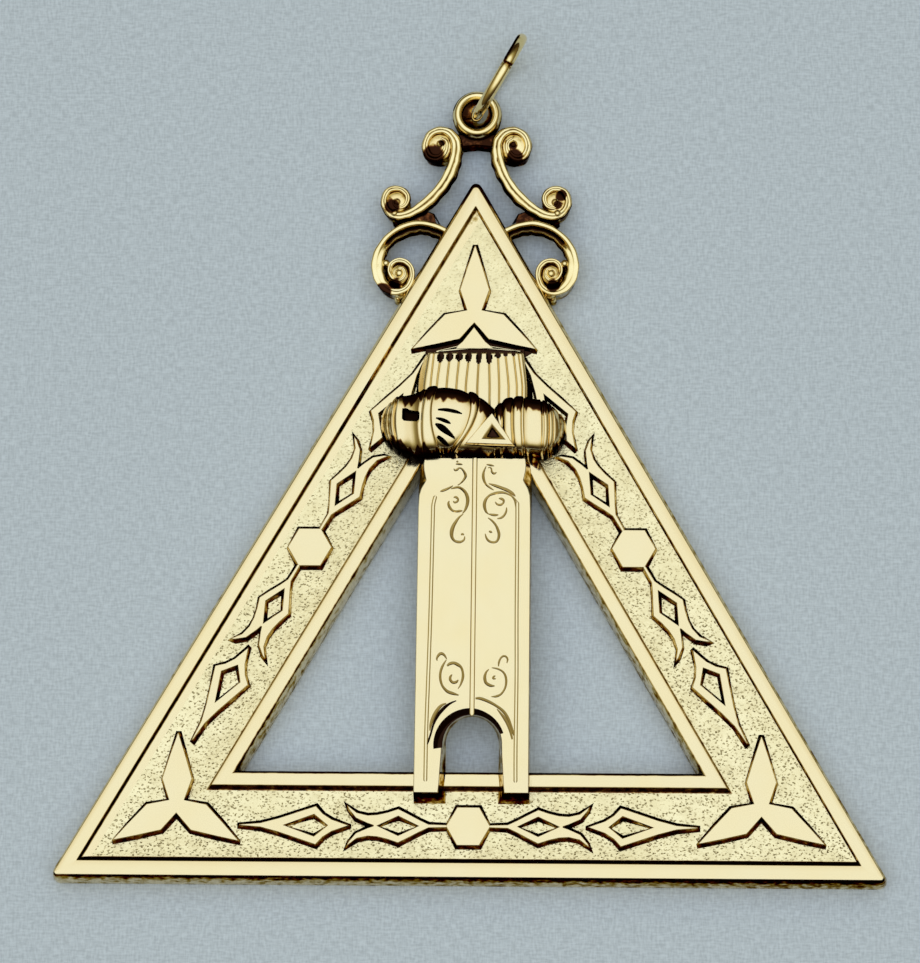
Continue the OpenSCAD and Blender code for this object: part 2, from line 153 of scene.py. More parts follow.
# The plate's cut from the outside in: [distance from the outer edge, height, more distance along the lower
# side, more along the left side, fall of the upper corner], and the painted shade there, dark lines that
# stand in for shade and dark reflections on the walls and chamfers, at the upper corner, on the left, on the
# lower side and on the right
PLATE_CUT = [
    (-0.24, 0.0, 0, 0, 0, (0.5, 0.3, 0.3, 0.3)), (-0.28, 0.1, 0, 0, 0, (0.5, 0.3, 0.3, 0.3)),
    (-0.27, 0.35, 0, 0, 0, (0.6, 0.3, 0.34, 0.3)), (-0.14, 1.5, 0, 0, 0, (0.8, 0.3, 0.42, 0.32)),
    (-0.02, 2.5, 0, 0, 0, (1.0, 0.32, 0.7, 0.35)), (0.01, 2.64, 0.02, 0, 0, (1.1, 0.36, 1.0, 0.4)),
    (0.03, 2.7, 0.03, 0, 0.04, (1.1, 0.3, 1.0, 0.35)), (0.14, 2.94, -0.03, 0, 0.2, (1.0, 0.2, 0.8, 0.3)),
    (0.18, 2.98, -0.06, 0, 0.24, (0.6, 0, 0.3, 0)), (0.22, 3.0, -0.08, 0, 0.26, (0, 0, 0, 0)),
    (1.26, 3.0, 0, 0, 0, (0, 0, 0, 0)), (1.3, 2.97, 0.02, 0, 0, (0.3, 0.3, 0.5, 0.35)),
    (1.34, 2.8, 0.1, 0, 0, (0.4, 0.75, 1, 0.5)), (1.37, 2.52, 0.2, 0.06, 0, (0.45, 0.9, 1, 0.7)),
    (1.39, 2.47, 0.24, 0.1, 0, (0.4, 0.4, 0.9, 0.7)), (1.41, 2.44, 0.26, 0.14, 0, (0.35, 0, 0.85, 0.6)),
    (1.43, 2.41, 0.28, 0.6, 0, (0.3, 0, 0.6, 0.3)), (1.46, 2.4, 0.3, 0.66, 0, (0, 0, 0, 0)),
    (7.5, 2.4, -0.13, 0, 0, (0.3, 0.3, 0.5, 0.3)), (7.56, 2.42, -0.11, 0, 0, (0.35, 0.35, 0.62, 0.4)),
    (7.61, 2.48, -0.09, 0, 0, (0.4, 0.4, 0.66, 0.45)), (7.66, 2.7, -0.05, 0, 0, (0.35, 0.4, 0.64, 0.42)),
    (7.7, 2.88, -0.02, 0, 0, (0.3, 0.35, 0.6, 0.35)), (7.76, 2.97, 0, 0, 0, (0, 0, 0.3, 0)),
    (7.84, 3.0, 0, 0, 0, (0, 0, 0, 0)), (8.68, 3.0, 0, 0, 0, (0, 0, 0, 0)),
    (8.76, 2.98, 0.02, 0, 0, (0.2, 0.35, 0.6, 0.3)), (8.86, 2.9, 0.03, 0, 0, (0.75, 0.8, 1, 0.4)),
    (8.93, 2.7, 0.05, 0, 0, (0.9, 0.4, 1, 0.35)), (9.0, 2.3, 0, 0, 0, (0.8, 0.3, 0.9, 0.3)),
    (9.2, 0.6, 0, 0, 0, (0.6, 0.32, 0.4, 0.34)), (9.1, 0.0, 0, 0, 0, (0.6, 0.4, 0.4, 0.4))]
CORNER_ROUND = {90: 0.5, 210: 0.4, 330: 0.4}
# The rivets' places, and the recess in the back over each head: [radius, height]
RIVETS = [(-3.615, 3.875), (4.135, 3.875), (-4.84, 33.342), (5.36, 33.342)]
RECESS = [(1.25, -0.4), (1.2, 0.0), (1.15, 0.06), (1.15, 0.65)]


def loft(bm, sections, caps=False, finish=0, paint=None, painted_shade=None):
    """Skins a row of closed sections with a grid, merges its seam, and fills its ends if asked.
    paint gives each place its finish, and the last argument how much painted shade and painted dark
    reflection it has, from 0 to 1.2 or so."""
    # Each vertex keeps its share of painted shade and painted dark reflection in this layer
    painted_shade_layer = bm.verts.layers.float.get("painted_shade_layer") or bm.verts.layers.float.new("painted_shade_layer")
    rows, cols = len(sections), len(sections[0])
    verts = bmesh.ops.create_grid(bm, x_segments=cols, y_segments=rows - 1, size=1)["verts"]
    for k, v in enumerate(verts):
        row, col = k // (cols + 1), k % (cols + 1) % cols
        v.co = Vector(sections[row][col]) * MM
        v[painted_shade_layer] = painted_shade(row, col) if painted_shade else 0
        for f in v.link_faces:
            f.material_index = paint(row, col) if paint else finish
    ends = [[verts[row * (cols + 1) + col] for col in range(cols)] for row in (0, rows - 1)]
    bmesh.ops.weld_verts(bm, targetmap={verts[row * (cols + 1) + cols]: verts[row * (cols + 1)]
                                        for row in range(rows)})
    if caps:
        for end in ends:
            for f in bmesh.ops.contextual_create(bm, geom=end)["faces"]:
                f.material_index = finish
    return ends


def finish_piece(bm, name, materials, sharp=35):
    """Turns the faces outwards, marks the crisp edges and makes the object."""
    bmesh.ops.recalc_face_normals(bm, faces=bm.faces)
    mesh = bpy.data.meshes.new(name)
    bm.to_mesh(mesh)
    bm.free()
    for material in materials:
        mesh.materials.append(material)
    mesh.shade_smooth()
    mesh.set_sharp_from_angle(angle=radians(sharp))
    piece = bpy.data.objects.new(name, mesh)
    bpy.context.scene.collection.objects.link(piece)
    return piece


def cut_away(piece, cuts, sharp):
    """Cuts the closed shapes out of the piece, and marks its crisp edges again."""
    cutter = finish_piece(cuts, "cutter", list(piece.data.materials))
    cut = piece.modifiers.new("cuts", "BOOLEAN")
    cut.solver = "EXACT"
    cut.operation = "DIFFERENCE"
    cut.use_self = True
    cut.object = cutter
    mesh = bpy.data.meshes.new_from_object(piece.evaluated_get(bpy.context.evaluated_depsgraph_get()))
    piece.modifiers.clear()
    piece.data = mesh
    bpy.data.objects.remove(cutter)
    mesh.shade_smooth()
    mesh.set_sharp_from_angle(angle=radians(sharp))


def polar(r, degrees):
    return Vector((r * cos(radians(degrees)), r * sin(radians(degrees))))


def round_rows(x, y, cut, sides):
    """Circles about the place, from [radius, height]."""
    return [[(x + r * cos(2 * pi * k / sides), y + r * sin(2 * pi * k / sides), z) for k in range(sides)]
            for r, z in cut]


def plate_ring(inset, height, lower, left, fall):
    """The plate's outline with rounded corners, moved in by inset and by the given more along its sides."""
    points = []
    # A corner slides along one side by 0.577 of what the other side moves in
    moved = {90: (0.577 * left, -left - fall), 210: (1.155 * left + 0.577 * lower, lower),
             330: (-0.577 * lower, lower)}
    for corner, radius in CORNER_ROUND.items():
        r = max(radius - inset, 0.03)
        middle = polar(CORNER - 2 * (inset + r), corner) + Vector(moved[corner])
        for k in range(7):
            p = middle + polar(r, corner - 60 + 20 * k)
            points.append(Vector((p.x, p.y + MIDDLE_Y, height)))
    # Two more points down each side from the upper corner
    return (points[:7] + [points[6].lerp(points[7], t) for t in (0.05, 0.13)] + points[7:]
            + [points[20].lerp(points[0], t) for t in (0.87, 0.95)])


def gilt_finish_group():
    """The plated surface: soft swirls of the mop, hairline scratches and a faint warm cloudiness."""
    group = bpy.data.node_groups.new("gilt_finish", "ShaderNodeTree")
    for name, value in (("Scratches", 0.1), ("Waviness", 0.1), ("Polish", 0.08),
                        ("Gold", (0.82, 0.665, 0.355, 1)), ("Worn", (0.82, 0.64, 0.31, 1))):
        kind = "Float" if isinstance(value, float) else "Color"
        socket = group.interface.new_socket(name, in_out="INPUT", socket_type="NodeSocket" + kind)
        socket.default_value = value
    for name, kind in (("Color", "Color"), ("Roughness", "Float"), ("Normal", "Vector")):
        group.interface.new_socket(name, in_out="OUTPUT", socket_type="NodeSocket" + kind)
    given = group.nodes.new("NodeGroupInput").outputs
    place = add_node(group, "TexCoord").outputs["Object"]
    # Cloudiness of the plating, a few millimetres across
    cloud = spread(group, noise(group, place, 230, 3), 0.35, 0.7, 0, 0.6)
    # Roughness wanders a little about the polish
    haze = spread(group, noise(group, place, 900, 4, 0.6), 0.3, 0.75, 0.75, 1.6)
    # Soft waves of the hand polish, then hairlines across them
    waves = add_node(group, "Bump", {"Distance": 0.00012, "Height": noise(group, place, 420, 1.5),
                                     "Strength": given["Waviness"]})
    stretch = add_node(group, "Mapping", {"Vector": place, "Rotation": (0, 0, radians(38)),
                                          "Scale": (9000, 500, 2000)})
    hair = spread(group, noise(group, stretch.outputs[0], 1, 2), 0.58, 0.72)
    lines = add_node(group, "Bump", {"Distance": 0.00001, "Height": hair, "Strength": given["Scratches"],
                                     "Normal": waves.outputs["Normal"]})
    feed(group.nodes.new("NodeGroupOutput"), {
        "Color": mixed(group, cloud, given["Gold"], given["Worn"]),
        "Roughness": reckon(group, "MULTIPLY", haze, given["Polish"]), "Normal": lines.outputs["Normal"]})
    return group


def gilt_material(name, **values):
    """Gold plate: the finish group feeds the shader, with this surface's own values."""
    material = bpy.data.materials.new(name)
    material.use_nodes = True
    tree = material.node_tree
    finish = add_node(tree, "Group", values, node_tree=GILT_FINISH, name="finish").outputs
    feed(tree.nodes["Principled BSDF"], {"Metallic": 1, "Base Color": finish["Color"],
                                         "Roughness": finish["Roughness"], "Normal": finish["Normal"]})
    return material


GILT_FINISH = gilt_finish_group()
gilt = gilt_material("gilt", Polish=0.07, Waviness=0.06, Scratches=0.12)
# Near-black gold for painted shadow and painted dark reflection in gaps, hollows and cuts
shadow_gilt = gilt_material("gilt_painted_shadow", Polish=0.35, Waviness=0.3, Scratches=0.0,
                          Gold=(0.035, 0.014, 0.007, 1), Worn=(0.015, 0.006, 0.003, 1))
feed(shadow_gilt.node_tree.nodes["Principled BSDF"], {"Specular Tint": (0.12, 0.06, 0.03, 1)})


def shaded_gilt_material(name, **values):
    """Gold with painted shade and painted dark reflections where a piece's own per-vertex shade values are
    high, in ragged brown and black patches.
    """
    material = gilt_material(name, **values)
    tree = material.node_tree
    finish = tree.nodes["finish"].outputs
    # The piece's painted shade values, made ragged by noise, darken the gold's colour and its reflections
    amount = add_node(tree, "Attribute", attribute_name="painted_shade_layer").outputs["Fac"]
    patches = noise(tree, add_node(tree, "TexCoord").outputs["Object"], 1300, 4, 0.6)
    level = spread(tree, reckon(tree, "ADD", patches, amount), 0.76, 1.2)
    colours = ramp(tree, level, [(0, (1, 1, 1)), (0.32, (0.62, 0.54, 0.33)), (0.62, (0.2, 0.08, 0.045)),
                                 (1, (0.035, 0.014, 0.012))])
    feed(tree.nodes["Principled BSDF"], {
        "Base Color": mixed(tree, 1, finish["Color"], colours, "MULTIPLY"), "Specular Tint": colours,
        "Roughness": reckon(tree, "MULTIPLY_ADD", level, 0.2, finish["Roughness"])})
    return material


shaded_gilt = shaded_gilt_material("gilt_painted_shade", Polish=0.09, Waviness=0.1, Scratches=0.12)
# The field's punch marks: small oblong dents, close together, darker at their bottoms
stipple = gilt_material("gilt_stippled", Polish=0.28, Waviness=0.3, Scratches=0.0,
                        Gold=(0.90, 0.765, 0.42, 1), Worn=(0.80, 0.66, 0.33, 1))
tree = stipple.node_tree
finish = tree.nodes["finish"].outputs
place = add_node(tree, "TexCoord").outputs["Object"]
slanted = add_node(tree, "Mapping", {"Vector": place, "Rotation": (0, 0, radians(35)),
                                     "Scale": (3600, 5000, 3600)}).outputs[0]
wander = add_node(tree, "TexNoise", {"Vector": slanted, "Scale": 0.8, "Detail": 2}).outputs["Color"]
shift = add_node(tree, "VectorMath", {0: wander, 1: (2, 2, 2), 2: slanted}, operation="MULTIPLY_ADD")
pits = add_node(tree, "TexVoronoi", {"Vector": shift.outputs[0], "Scale": 1}).outputs
dot = spread(tree, pits["Distance"], 0.5, 0.05, interpolation_type="SMOOTHSTEP")
some = spread(tree, pits["Color"], 0, 0.6)
# The punch struck more lightly towards the upper corner
height = add_node(tree, "SeparateXYZ", {0: place}).outputs["Y"]
strike = spread(tree, height, 0.015, 0.05, 1, 0.35)
struck = reckon(tree, "MULTIPLY", reckon(tree, "MULTIPLY", dot, some), strike)
dents = add_node(tree, "Bump", {
    "Distance": 0.00003, "Normal": finish["Normal"],
    "Height": reckon(tree, "MULTIPLY_ADD", struck, -1, noise(tree, place, 5000, 2))})
feed(tree.nodes["Principled BSDF"], {
    "Normal": dents.outputs["Normal"],
    "Base Color": mixed(tree, struck, finish["Color"], (0.27, 0.21, 0.09, 1))})

plate = bmesh.new()
for outer, inner in zip(PLATE_CUT, PLATE_CUT[1:]):
    # The painted shade thins out up the two sides, and to the left along the lower side's edge
    amounts = [[corner] * 7 + [left * 0.6] * 2 + [left] * 3 + [lower * (0.7 if outer[0] < 1 else 1)] * 4
               + [lower] * 4 + [right] * 3 + [right * 0.8] * 2
               for corner, left, lower, right in (outer[5], inner[5])]
    loft(plate, [plate_ring(*outer[:5]), plate_ring(*inner[:5])], finish=int(inner[0] == FIELD_END),
         painted_shade=lambda row, col: amounts[row][col])
bmesh.ops.remove_doubles(plate, verts=plate.verts, dist=0.004 * MM)
bmesh.ops.bridge_loops(plate, edges=[e for e in plate.edges if e.is_boundary])
triangle = finish_piece(plate, "triangle", [shaded_gilt, stipple], sharp=30)
recesses = bmesh.new()
for x, y in RIVETS:
    loft(recesses, round_rows(x, y, RECESS, 36), caps=True)
cut_away(triangle, recesses, 30)
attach(triangle, "root")
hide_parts("frame")

# Cast relief
# The ornament stands up from the field in the same casting: in each corner a figure of three leaves,
# and along each side a hexagon between forked and pointed lozenges, their tops polished flat.
ORN_Y = -15.82             # the run's middle line, below the triangle's middle
# Half outline of the pointed lozenge: [distance from the hexagon's middle, half height], and its sunk eye
LOZENGE = [
    (10.0, 0.03), (11.4, 0.52), (12.15, 1.0), (12.75, 1.65), (14.4, 1.1), (15.9, 0.6), (17.4, 0.2),
    (19.15, 0.06)]
LOZENGE_EYE = [(11.79, 0), (12.9, 0.9), (15.4, 0)]
# Half outline of the forked lozenge, out to the fork's tip and back to its inner corner, and its sunk eye
FORK = [
    (1.75, 0.13), (3.3, 0.17), (4.05, 0.52), (4.95, 1.0), (5.85, 1.45), (6.75, 1.15), (7.6, 0.95),
    (8.4, 0.9), (9.3, 1.1), (10.15, 1.72), (10.0, 1.35), (9.4, 0.62), (8.4, 0.17), (7.95, 0.02)]
FORK_EYE = [(4.2, 0), (5.85, 0.8), (7.55, 0)]
HEX_R = 1.88
LEAF_MIDDLE = 28.25        # of the three leaves, from the triangle's middle
# One leaf's half outline: [distance from the middle of the three, half width]
LEAF = [(2.17, 1.28), (4.2, 0.66), (6.05, 0.05)]
LEAF_NOTCH = 0.78
# The relief's wall from the field up: [how far outside the drawn outline, height, share of the painted shade]
RELIEF_WALL = [(0.13, FIELD - 0.06, 1.05), (0.11, FIELD + 0.01, 1.05), (0.08, FIELD + 0.05, 1),
               (0.03, FIELD + 0.4, 0.95), (0.0, TOP - 0.08, 0.8), (-0.03, TOP - 0.02, 0.4), (-0.06, TOP, 0)]


def grown(outline, out, lean=0):
    """The outline with every edge moved out, or in where out is negative, but never past a narrow tip,
    and further by the share lean where it faces up or down."""
    points = []
    n = len(outline)
    area = sum(outline[i - 1][0] * outline[i][1] - outline[i][0] * outline[i - 1][1] for i in range(n))
    hand = 1 if area > 0 else -1
    for i in range(n):
        before, here, after = (Vector(outline[j % n]) for j in (i - 1, i, i + 1))
        a, b = (here - before).normalized(), (after - here).normalized()
        na, nb = Vector((a.y, -a.x)) * hand, Vector((b.y, -b.x)) * hand
        mitre = na + nb
        if mitre.length < 0.2:
            mitre = a - b
        mitre.normalize()
        reach = min(1 / max(mitre.dot(na), 0.3), 2.2)
        points.append(here + mitre * out * reach * (1 + lean * abs(mitre.y)))
    return points


def both_halves(half):
    """A whole outline from the half above its middle line, anticlockwise."""
    lower = [(x, -y) for x, y in half]
    upper = [(x, y) for x, y in reversed(half) if y > 0]
    return lower + upper


def rim_edges(rim):
    """The edges between the neighbours in a row of points."""
    return [e for i, v in enumerate(rim) for e in v.link_edges if e.other_vert(v) == rim[i - 1]]


def raised(bm, outline, eye, place):
    """A flat-topped form with sloping walls, and the same walls down into its eye."""
    walls = []
    for drawn, side in ((outline, 1), (eye, -1)):
        if not drawn:
            continue
        drawn = [place(p) for p in drawn]
        rows = [[(*p, z) for p in grown(drawn, side * out, 1.5 if out > 0 else 0)]
                for out, z, _ in RELIEF_WALL]
        # Painted shade by the way each wall faces: black where it faces up the jewel, red-brown where it
        # faces down, and lighter at the sides
        facing = [(q - Vector(p)).normalized().y * side for p, q in zip(drawn, grown(drawn, 0.05))]
        shade = [0.36 + (0.5 * f if f > 0 else -0.32 * f) for f in facing]
        walls.append(loft(bm, rows, painted_shade=lambda row, col: shade[col] * RELIEF_WALL[row][2]))
    for rims in zip(*walls):
        bmesh.ops.triangle_fill(bm, edges=[e for rim in rims for e in rim_edges(rim)], use_beauty=True)


relief = bmesh.new()
for turn in (0, 120, 240):
    spin = Matrix.Rotation(radians(turn), 2)

    def on_plate(p, spin=spin):
        q = spin @ Vector(p)
        return (q.x, q.y + MIDDLE_Y)

    raised(relief, [polar(HEX_R, 60 * k) for k in range(6)], None, lambda p: on_plate((p[0], p[1] + ORN_Y)))
    for hand in (-1, 1):
        def along(p, hand=hand):
            return on_plate((hand * p[0], p[1] + ORN_Y))
        raised(relief, both_halves(LOZENGE), both_halves(LOZENGE_EYE), along)
        raised(relief, both_halves(FORK), both_halves(FORK_EYE), along)
    leaves = []
    for k in range(3):
        away = 90 + 120 * k
        flip = Matrix.Rotation(radians(away), 2)
        leaves += [flip @ Vector((x, -y)) for x, y in LEAF]
        leaves += [flip @ Vector((x, y)) for x, y in reversed(LEAF)]
        leaves.append(polar(LEAF_NOTCH, away + 60))
    raised(relief, leaves, None, lambda p: on_plate((p[0], p[1] + LEAF_MIDDLE)))
bmesh.ops.remove_doubles(relief, verts=relief.verts, dist=0.002 * MM)
ornament = finish_piece(relief, "relief", [shaded_gilt], sharp=24)
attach(ornament, "root")

# Scroll crest
# One openwork casting soldered to the triangle's upper corner: a loop for the jump ring over two bracket
# scrolls, which stand on two C scrolls. Each scroll is a bead that slopes to one side, on a narrower rib.
BACK = 0.3                 # height of the crest's back
# A bead's cut: [half widths to the sloping side, fall from the ridge in widths, share of the groove there,
# painted shade]
BEAD_CUT = [
    (-0.25, 1.2, 0, 0.5), (-0.45, 0.95, 0, 0.6), (-0.66, 0.7, 0, 0.55), (-0.74, 0.5, 0, 0.5),
    (-0.74, 0.3, 0, 0.45), (-0.68, 0.14, 0, 0.25), (-0.56, 0.04, 0, 0), (-0.36, 0, 0, 0),
    (-0.12, 0, 0, 0), (0.08, 0.02, 0, 0), (0.22, 0.07, 0.2, 0.1), (0.34, 0.15, 0.6, 0.42),
    (0.46, 0.14, 1, 0.3), (0.62, 0.12, 1, 0), (0.85, 0.15, 0.9, 0), (1.0, 0.19, 0.1, 0),
    (1.15, 0.28, 0, 0.2), (1.32, 0.46, 0, 0.45), (1.44, 0.66, 0, 0.6), (1.47, 0.85, 0, 0.75),
    (1.25, 1.05, 0, 0.65), (0.8, 1.25, 0, 0.5)]
GROOVE = 0.42              # depth of a full groove
# Paths of the ridges: [x, y above the triangle's middle, width, height, groove, or less than nothing for a
# flatter bead]
BRACKET = [
    (3.12, 43.9, 0.34, 2.7, 0), (2.74, 43.62, 0.42, 2.68, 0), (2.74, 43.0, 0.48, 2.66, 0),
    (3.3, 42.35, 0.56, 2.66, 0.2), (4.05, 42.5, 0.58, 2.66, 0.3), (4.36, 43.35, 0.56, 2.7, 0),
    (4.02, 44.24, 0.58, 2.74, 0), (3.28, 44.64, 0.62, 2.78, 0), (2.46, 44.46, 0.72, 2.8, 0),
    (1.92, 43.72, 0.86, 2.8, 0), (1.86, 42.85, 0.95, 2.8, 0), (2.06, 41.85, 1.0, 2.8, 0),
    (2.5, 40.7, 1.0, 2.8, 0), (3.2, 39.55, 1.0, 2.8, 0), (4.15, 38.5, 0.95, 2.8, 0),
    (5.1, 37.72, 0.84, 2.78, 0), (6.0, 37.24, 0.7, 2.74, 0), (6.9, 37.15, 0.6, 2.7, 0),
    (7.62, 37.65, 0.54, 2.68, 0.2), (7.86, 38.5, 0.5, 2.66, 0), (7.48, 39.3, 0.5, 2.66, 0),
    (6.62, 39.46, 0.48, 2.64, 0), (5.96, 38.9, 0.44, 2.62, 0), (6.06, 38.15, 0.38, 2.6, 0),
    (6.62, 37.86, 0.32, 2.6, 0), (7.04, 38.2, 0.28, 2.62, 0), (6.88, 38.5, 0.24, 2.64, 0)]
C_SCROLL = [
    (2.4, 35.56, 1.0, 2.7, 1), (3.3, 35.98, 1.0, 2.76, 1), (4.2, 36.22, 1.0, 2.8, 1),
    (5.1, 36.28, 1.02, 2.8, 1), (6.4, 35.9, 1.02, 2.8, 1), (7.55, 35.05, 0.98, 2.8, 0.9),
    (8.28, 33.95, 0.98, 2.8, -0.2), (8.55, 32.7, 0.98, 2.8, -1), (8.35, 31.5, 0.92, 2.8, -1),
    (7.7, 30.6, 0.8, 2.78, -0.8), (6.75, 30.25, 0.64, 2.74, -0.4), (5.85, 30.6, 0.52, 2.7, 0),
    (5.38, 31.45, 0.48, 2.68, 0), (5.4, 32.4, 0.46, 2.68, 0), (5.9, 33.02, 0.44, 2.68, 0),
    (6.65, 33.18, 0.42, 2.66, 0), (7.25, 32.8, 0.4, 2.64, 0), (7.36, 32.1, 0.38, 2.6, 0.5),
    (6.98, 31.5, 0.34, 2.58, 0.8), (6.38, 31.42, 0.32, 2.58, 0), (6.02, 31.85, 0.3, 2.6, 0),
    (6.15, 32.35, 0.26, 2.62, 0), (6.55, 32.45, 0.24, 2.64, 0)]
# Round grounds, knobs, beads' ends and blobs of solder: [x, y, radius, height of the edge, height of the
# middle, painted shade]
ROUNDS = [
    (3.2, 43.4, 1.35, 2.2, 2.6, 0.2), (6.85, 38.4, 1.2, 2.1, 2.55, 0.25),
    (6.52, 32.05, 1.25, 1.7, 2.5, 0.3), (3.16, 43.48, 0.38, 2.4, 2.76, 0),
    (6.8, 38.3, 0.36, 2.4, 2.72, 0), (6.5, 32.0, 0.38, 2.4, 2.72, 0), (7.0, 37.3, 0.34, 2.5, 2.84, 0),
    (7.66, 32.85, 0.34, 2.5, 2.84, 0), (6.42, 30.55, 0.62, 1.6, 2.25, 0.1),
    (5.76, 31.1, 0.34, 1.5, 2.0, 0.2), (6.66, 30.0, 0.3, 1.2, 1.7, 0.2)]
# Painted dark reflections on the scrolls: [x, y, radius]
DARK_REFLECTIONS = [
    (-3.7, 42.5, 1.1), (-3.0, 43.5, 0.35), (3.3, 42.4, 0.85), (3.1, 43.3, 0.4), (-7.2, 37.9, 0.8),
    (7.3, 38.9, 0.6), (7.0, 38.1, 0.4), (-7.9, 30.3, 0.9), (6.7, 30.9, 0.7), (-6.9, 31.0, 0.6)]
LOOP_MIDDLE = 46.165
# The loop's cut: [radius, height, painted shade]
LOOP_CUT = [
    (1.27, 1.9, 0.8), (1.29, 2.25, 0.7), (1.33, 2.5, 0.35), (1.4, 2.68, 0), (1.5, 2.78, 0),
    (1.64, 2.81, 0), (1.78, 2.78, 0), (1.92, 2.68, 0), (2.03, 2.48, 0.2), (2.12, 2.2, 0.5),
    (2.13, 1.9, 0.75)]
LOOP_SIDES = 48
OPEN_WAY = Vector((0.475, 0.863))      # from the loop's middle to where its hole is open right through
# A bridge under the loop, between the brackets, and solder between each bracket's end and the C scroll
BRIDGE = [(-1.7, 43.3), (0, 43.5), (1.7, 43.3), (1.75, 44.6), (-1.75, 44.6)]
SEAM = [(2.7, 35.9), (3.4, 36.35), (5.1, 36.6), (6.6, 36.2), (7.2, 36.75), (6.0, 36.8), (5.0, 37.3),
        (4.3, 37.75), (3.6, 37.5)]
# The scrolls were only tumbled bright, so their skin is wavier and its colour deeper
bright = shaded_gilt_material("gilt_tumbled", Polish=0.06, Waviness=0.5, Scratches=0.1,
                          Gold=(0.92, 0.76, 0.38, 1), Worn=(0.86, 0.64, 0.25, 1))


def smooth_row(points, steps=5):
    """A smooth row through the given ones, with all their numbers eased between."""
    row = []
    last = len(points) - 1
    for i in range(last):
        a, b, c, d = (points[min(max(j, 0), last)] for j in (i - 1, i, i + 1, i + 2))
        for k in range(steps):
            t = k / steps
            row.append([0.5 * (2 * q + (r - p) * t + (2 * p - 5 * q + 4 * r - s) * t * t
                               + (3 * q - p - 3 * r + s) * t ** 3) for p, q, r, s in zip(a, b, c, d)])
    row.append(list(points[last]))
    return row


def way_at(row, i):
    """Which way the row runs at its point i."""
    ahead, behind = row[min(i + 1, len(row) - 1)], row[max(i - 1, 0)]
    return Vector((ahead[0] - behind[0], ahead[1] - behind[1])).normalized()


def with_painted_reflections(amount, place):
    """The painted shade at the place, or that of a painted dark reflection where that is more."""
    return max([amount] + [2.4 * (1 - hypot(place[0] - x, place[1] - MIDDLE_Y - y) / r)
                           for x, y, r in DARK_REFLECTIONS])


def stepped(outline, cut, x=0):
    """The outline at each height of a wall's cut: [how far outside, height]."""
    return [[(p.x + x, p.y + MIDDLE_Y, z) for p in grown(outline, out)] for out, z in cut]


def bead(bm, path, hand):
    """A scroll's bead on its rib, sloping to the right of its way. Its lower flanks are darker, with painted
    shade.
    """
    row = smooth_row(path)
    sections, below = [], []
    for i, (x, y, width, ridge, groove) in enumerate(row):
        way = way_at(row, i)
        side = Vector((way.y, -way.x))
        below.append(side.y)
        width *= 1 + 0.05 * sin(1.3 * i) + 0.04 * sin(0.47 * i + hand)
        ridge += 0.02 * sin(0.9 * i + hand)
        cut = [(0.7, BACK), (-0.2, BACK)]
        for s, fall, sunk, _ in BEAD_CUT:
            fall *= width
            cut.append((s, ridge - fall * (1 + 0.7 * min(groove, 0)) - GROOVE * sunk * max(groove, 0)))
        sections.append([(hand * (x + side.x * s * width / 2), y + side.y * s * width / 2 + MIDDLE_Y, z)
                         for s, z in cut])

    def painted_shade(i, j):
        if j < 2:
            return 0.4
        amount = BEAD_CUT[j - 2][3] * (0.3 if row[i][4] < 0 and j < 19 else 1)
        if j > 17:
            amount *= 0.9 + 0.9 * max(0, -below[i])
        return with_painted_reflections(max(amount, row[i][4] * BEAD_CUT[j - 2][2]), sections[i][j])
    loft(bm, sections, caps=True, painted_shade=painted_shade)


def dome(bm, x, y, radius, shoulder, top, amount):
    """A round post with a domed end."""
    cut = [(radius, BACK), (radius, shoulder)]
    cut += [(radius * cos(radians(a)), shoulder + (top - shoulder) * sin(radians(a)))
            for a in (25, 50, 72, 88)]
    rows = round_rows(x, y + MIDDLE_Y, cut, 20)
    # The post carries its painted shade, more at its foot, and any painted dark reflection
    loft(bm, rows, caps=True, painted_shade=lambda row, col: with_painted_reflections(max(amount, 0.4 * (row < 2)), rows[row][col]))


def loop_painted_shade(row, col):
    """Painted shade: brown below and at the back, black on the outer flank at the upper left, and else the
    cut's own.
    """
    if col >= len(LOOP_CUT):
        return 0.45 if col == len(LOOP_CUT) else 0.35
    return 1 if 13 < row < 23 and col > 7 else LOOP_CUT[col][2]


crest = bmesh.new()
for hand in (1, -1):
    bead(crest, BRACKET, hand)
    bead(crest, C_SCROLL, hand)
    for x, y, *post in ROUNDS:
        dome(crest, hand * x, y, *post)
rows = []
for k in range(LOOP_SIDES):
    out = polar(1, k * 360 / LOOP_SIDES)
    # The loop's foot reaches lower than its head, and a flange fills its hole but for the open side
    low = 1.62 - 1.2 * max(0, -out.y) ** 0.8
    open_r = min(1.2, 0.2 + 0.35 * (1 + out.dot(OPEN_WAY)) ** 1.5)
    rows.append([(out.x * r, out.y * r + LOOP_MIDDLE + MIDDLE_Y, z) for r, z in
                 [(r, z) for r, z, _ in LOOP_CUT] + [(2.08, low), (open_r, low)]])
loft(crest, rows + rows[:1], painted_shade=loop_painted_shade)
# The bridge and the solder carry an even painted shade
for outline in (BRIDGE, SEAM, [(-x, y) for x, y in reversed(SEAM)]):
    loft(crest, stepped(outline, ((0, BACK), (0, 1.6), (-0.15, 1.85))), caps=True, painted_shade=lambda row, col: 0.7)
scrolls = finish_piece(crest, "crest", [bright], sharp=55)
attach(scrolls, "root")

# Plumb rule
# A cast brass rule with a flat polished face, riveted by its two feet to the lower rim and held at its
# upper end under the turban. The plumb line stands up from it, and a graver has cut borders and scrolls.
EMBLEM_X = 0.26            # the rule and turban sit this far to the right
RULE_TOP = 15.335          # heights along the rule count from the triangle's middle
RULE_FACE = 4.59           # height of the rule's face
FOOT_Y = -13.25
FOOT_BACK, RULE_BACK = 2.44, 3.04      # heights of the back, at the feet and above them
ARCH_MIDDLE = -9.06
ARCH_R = 2.5
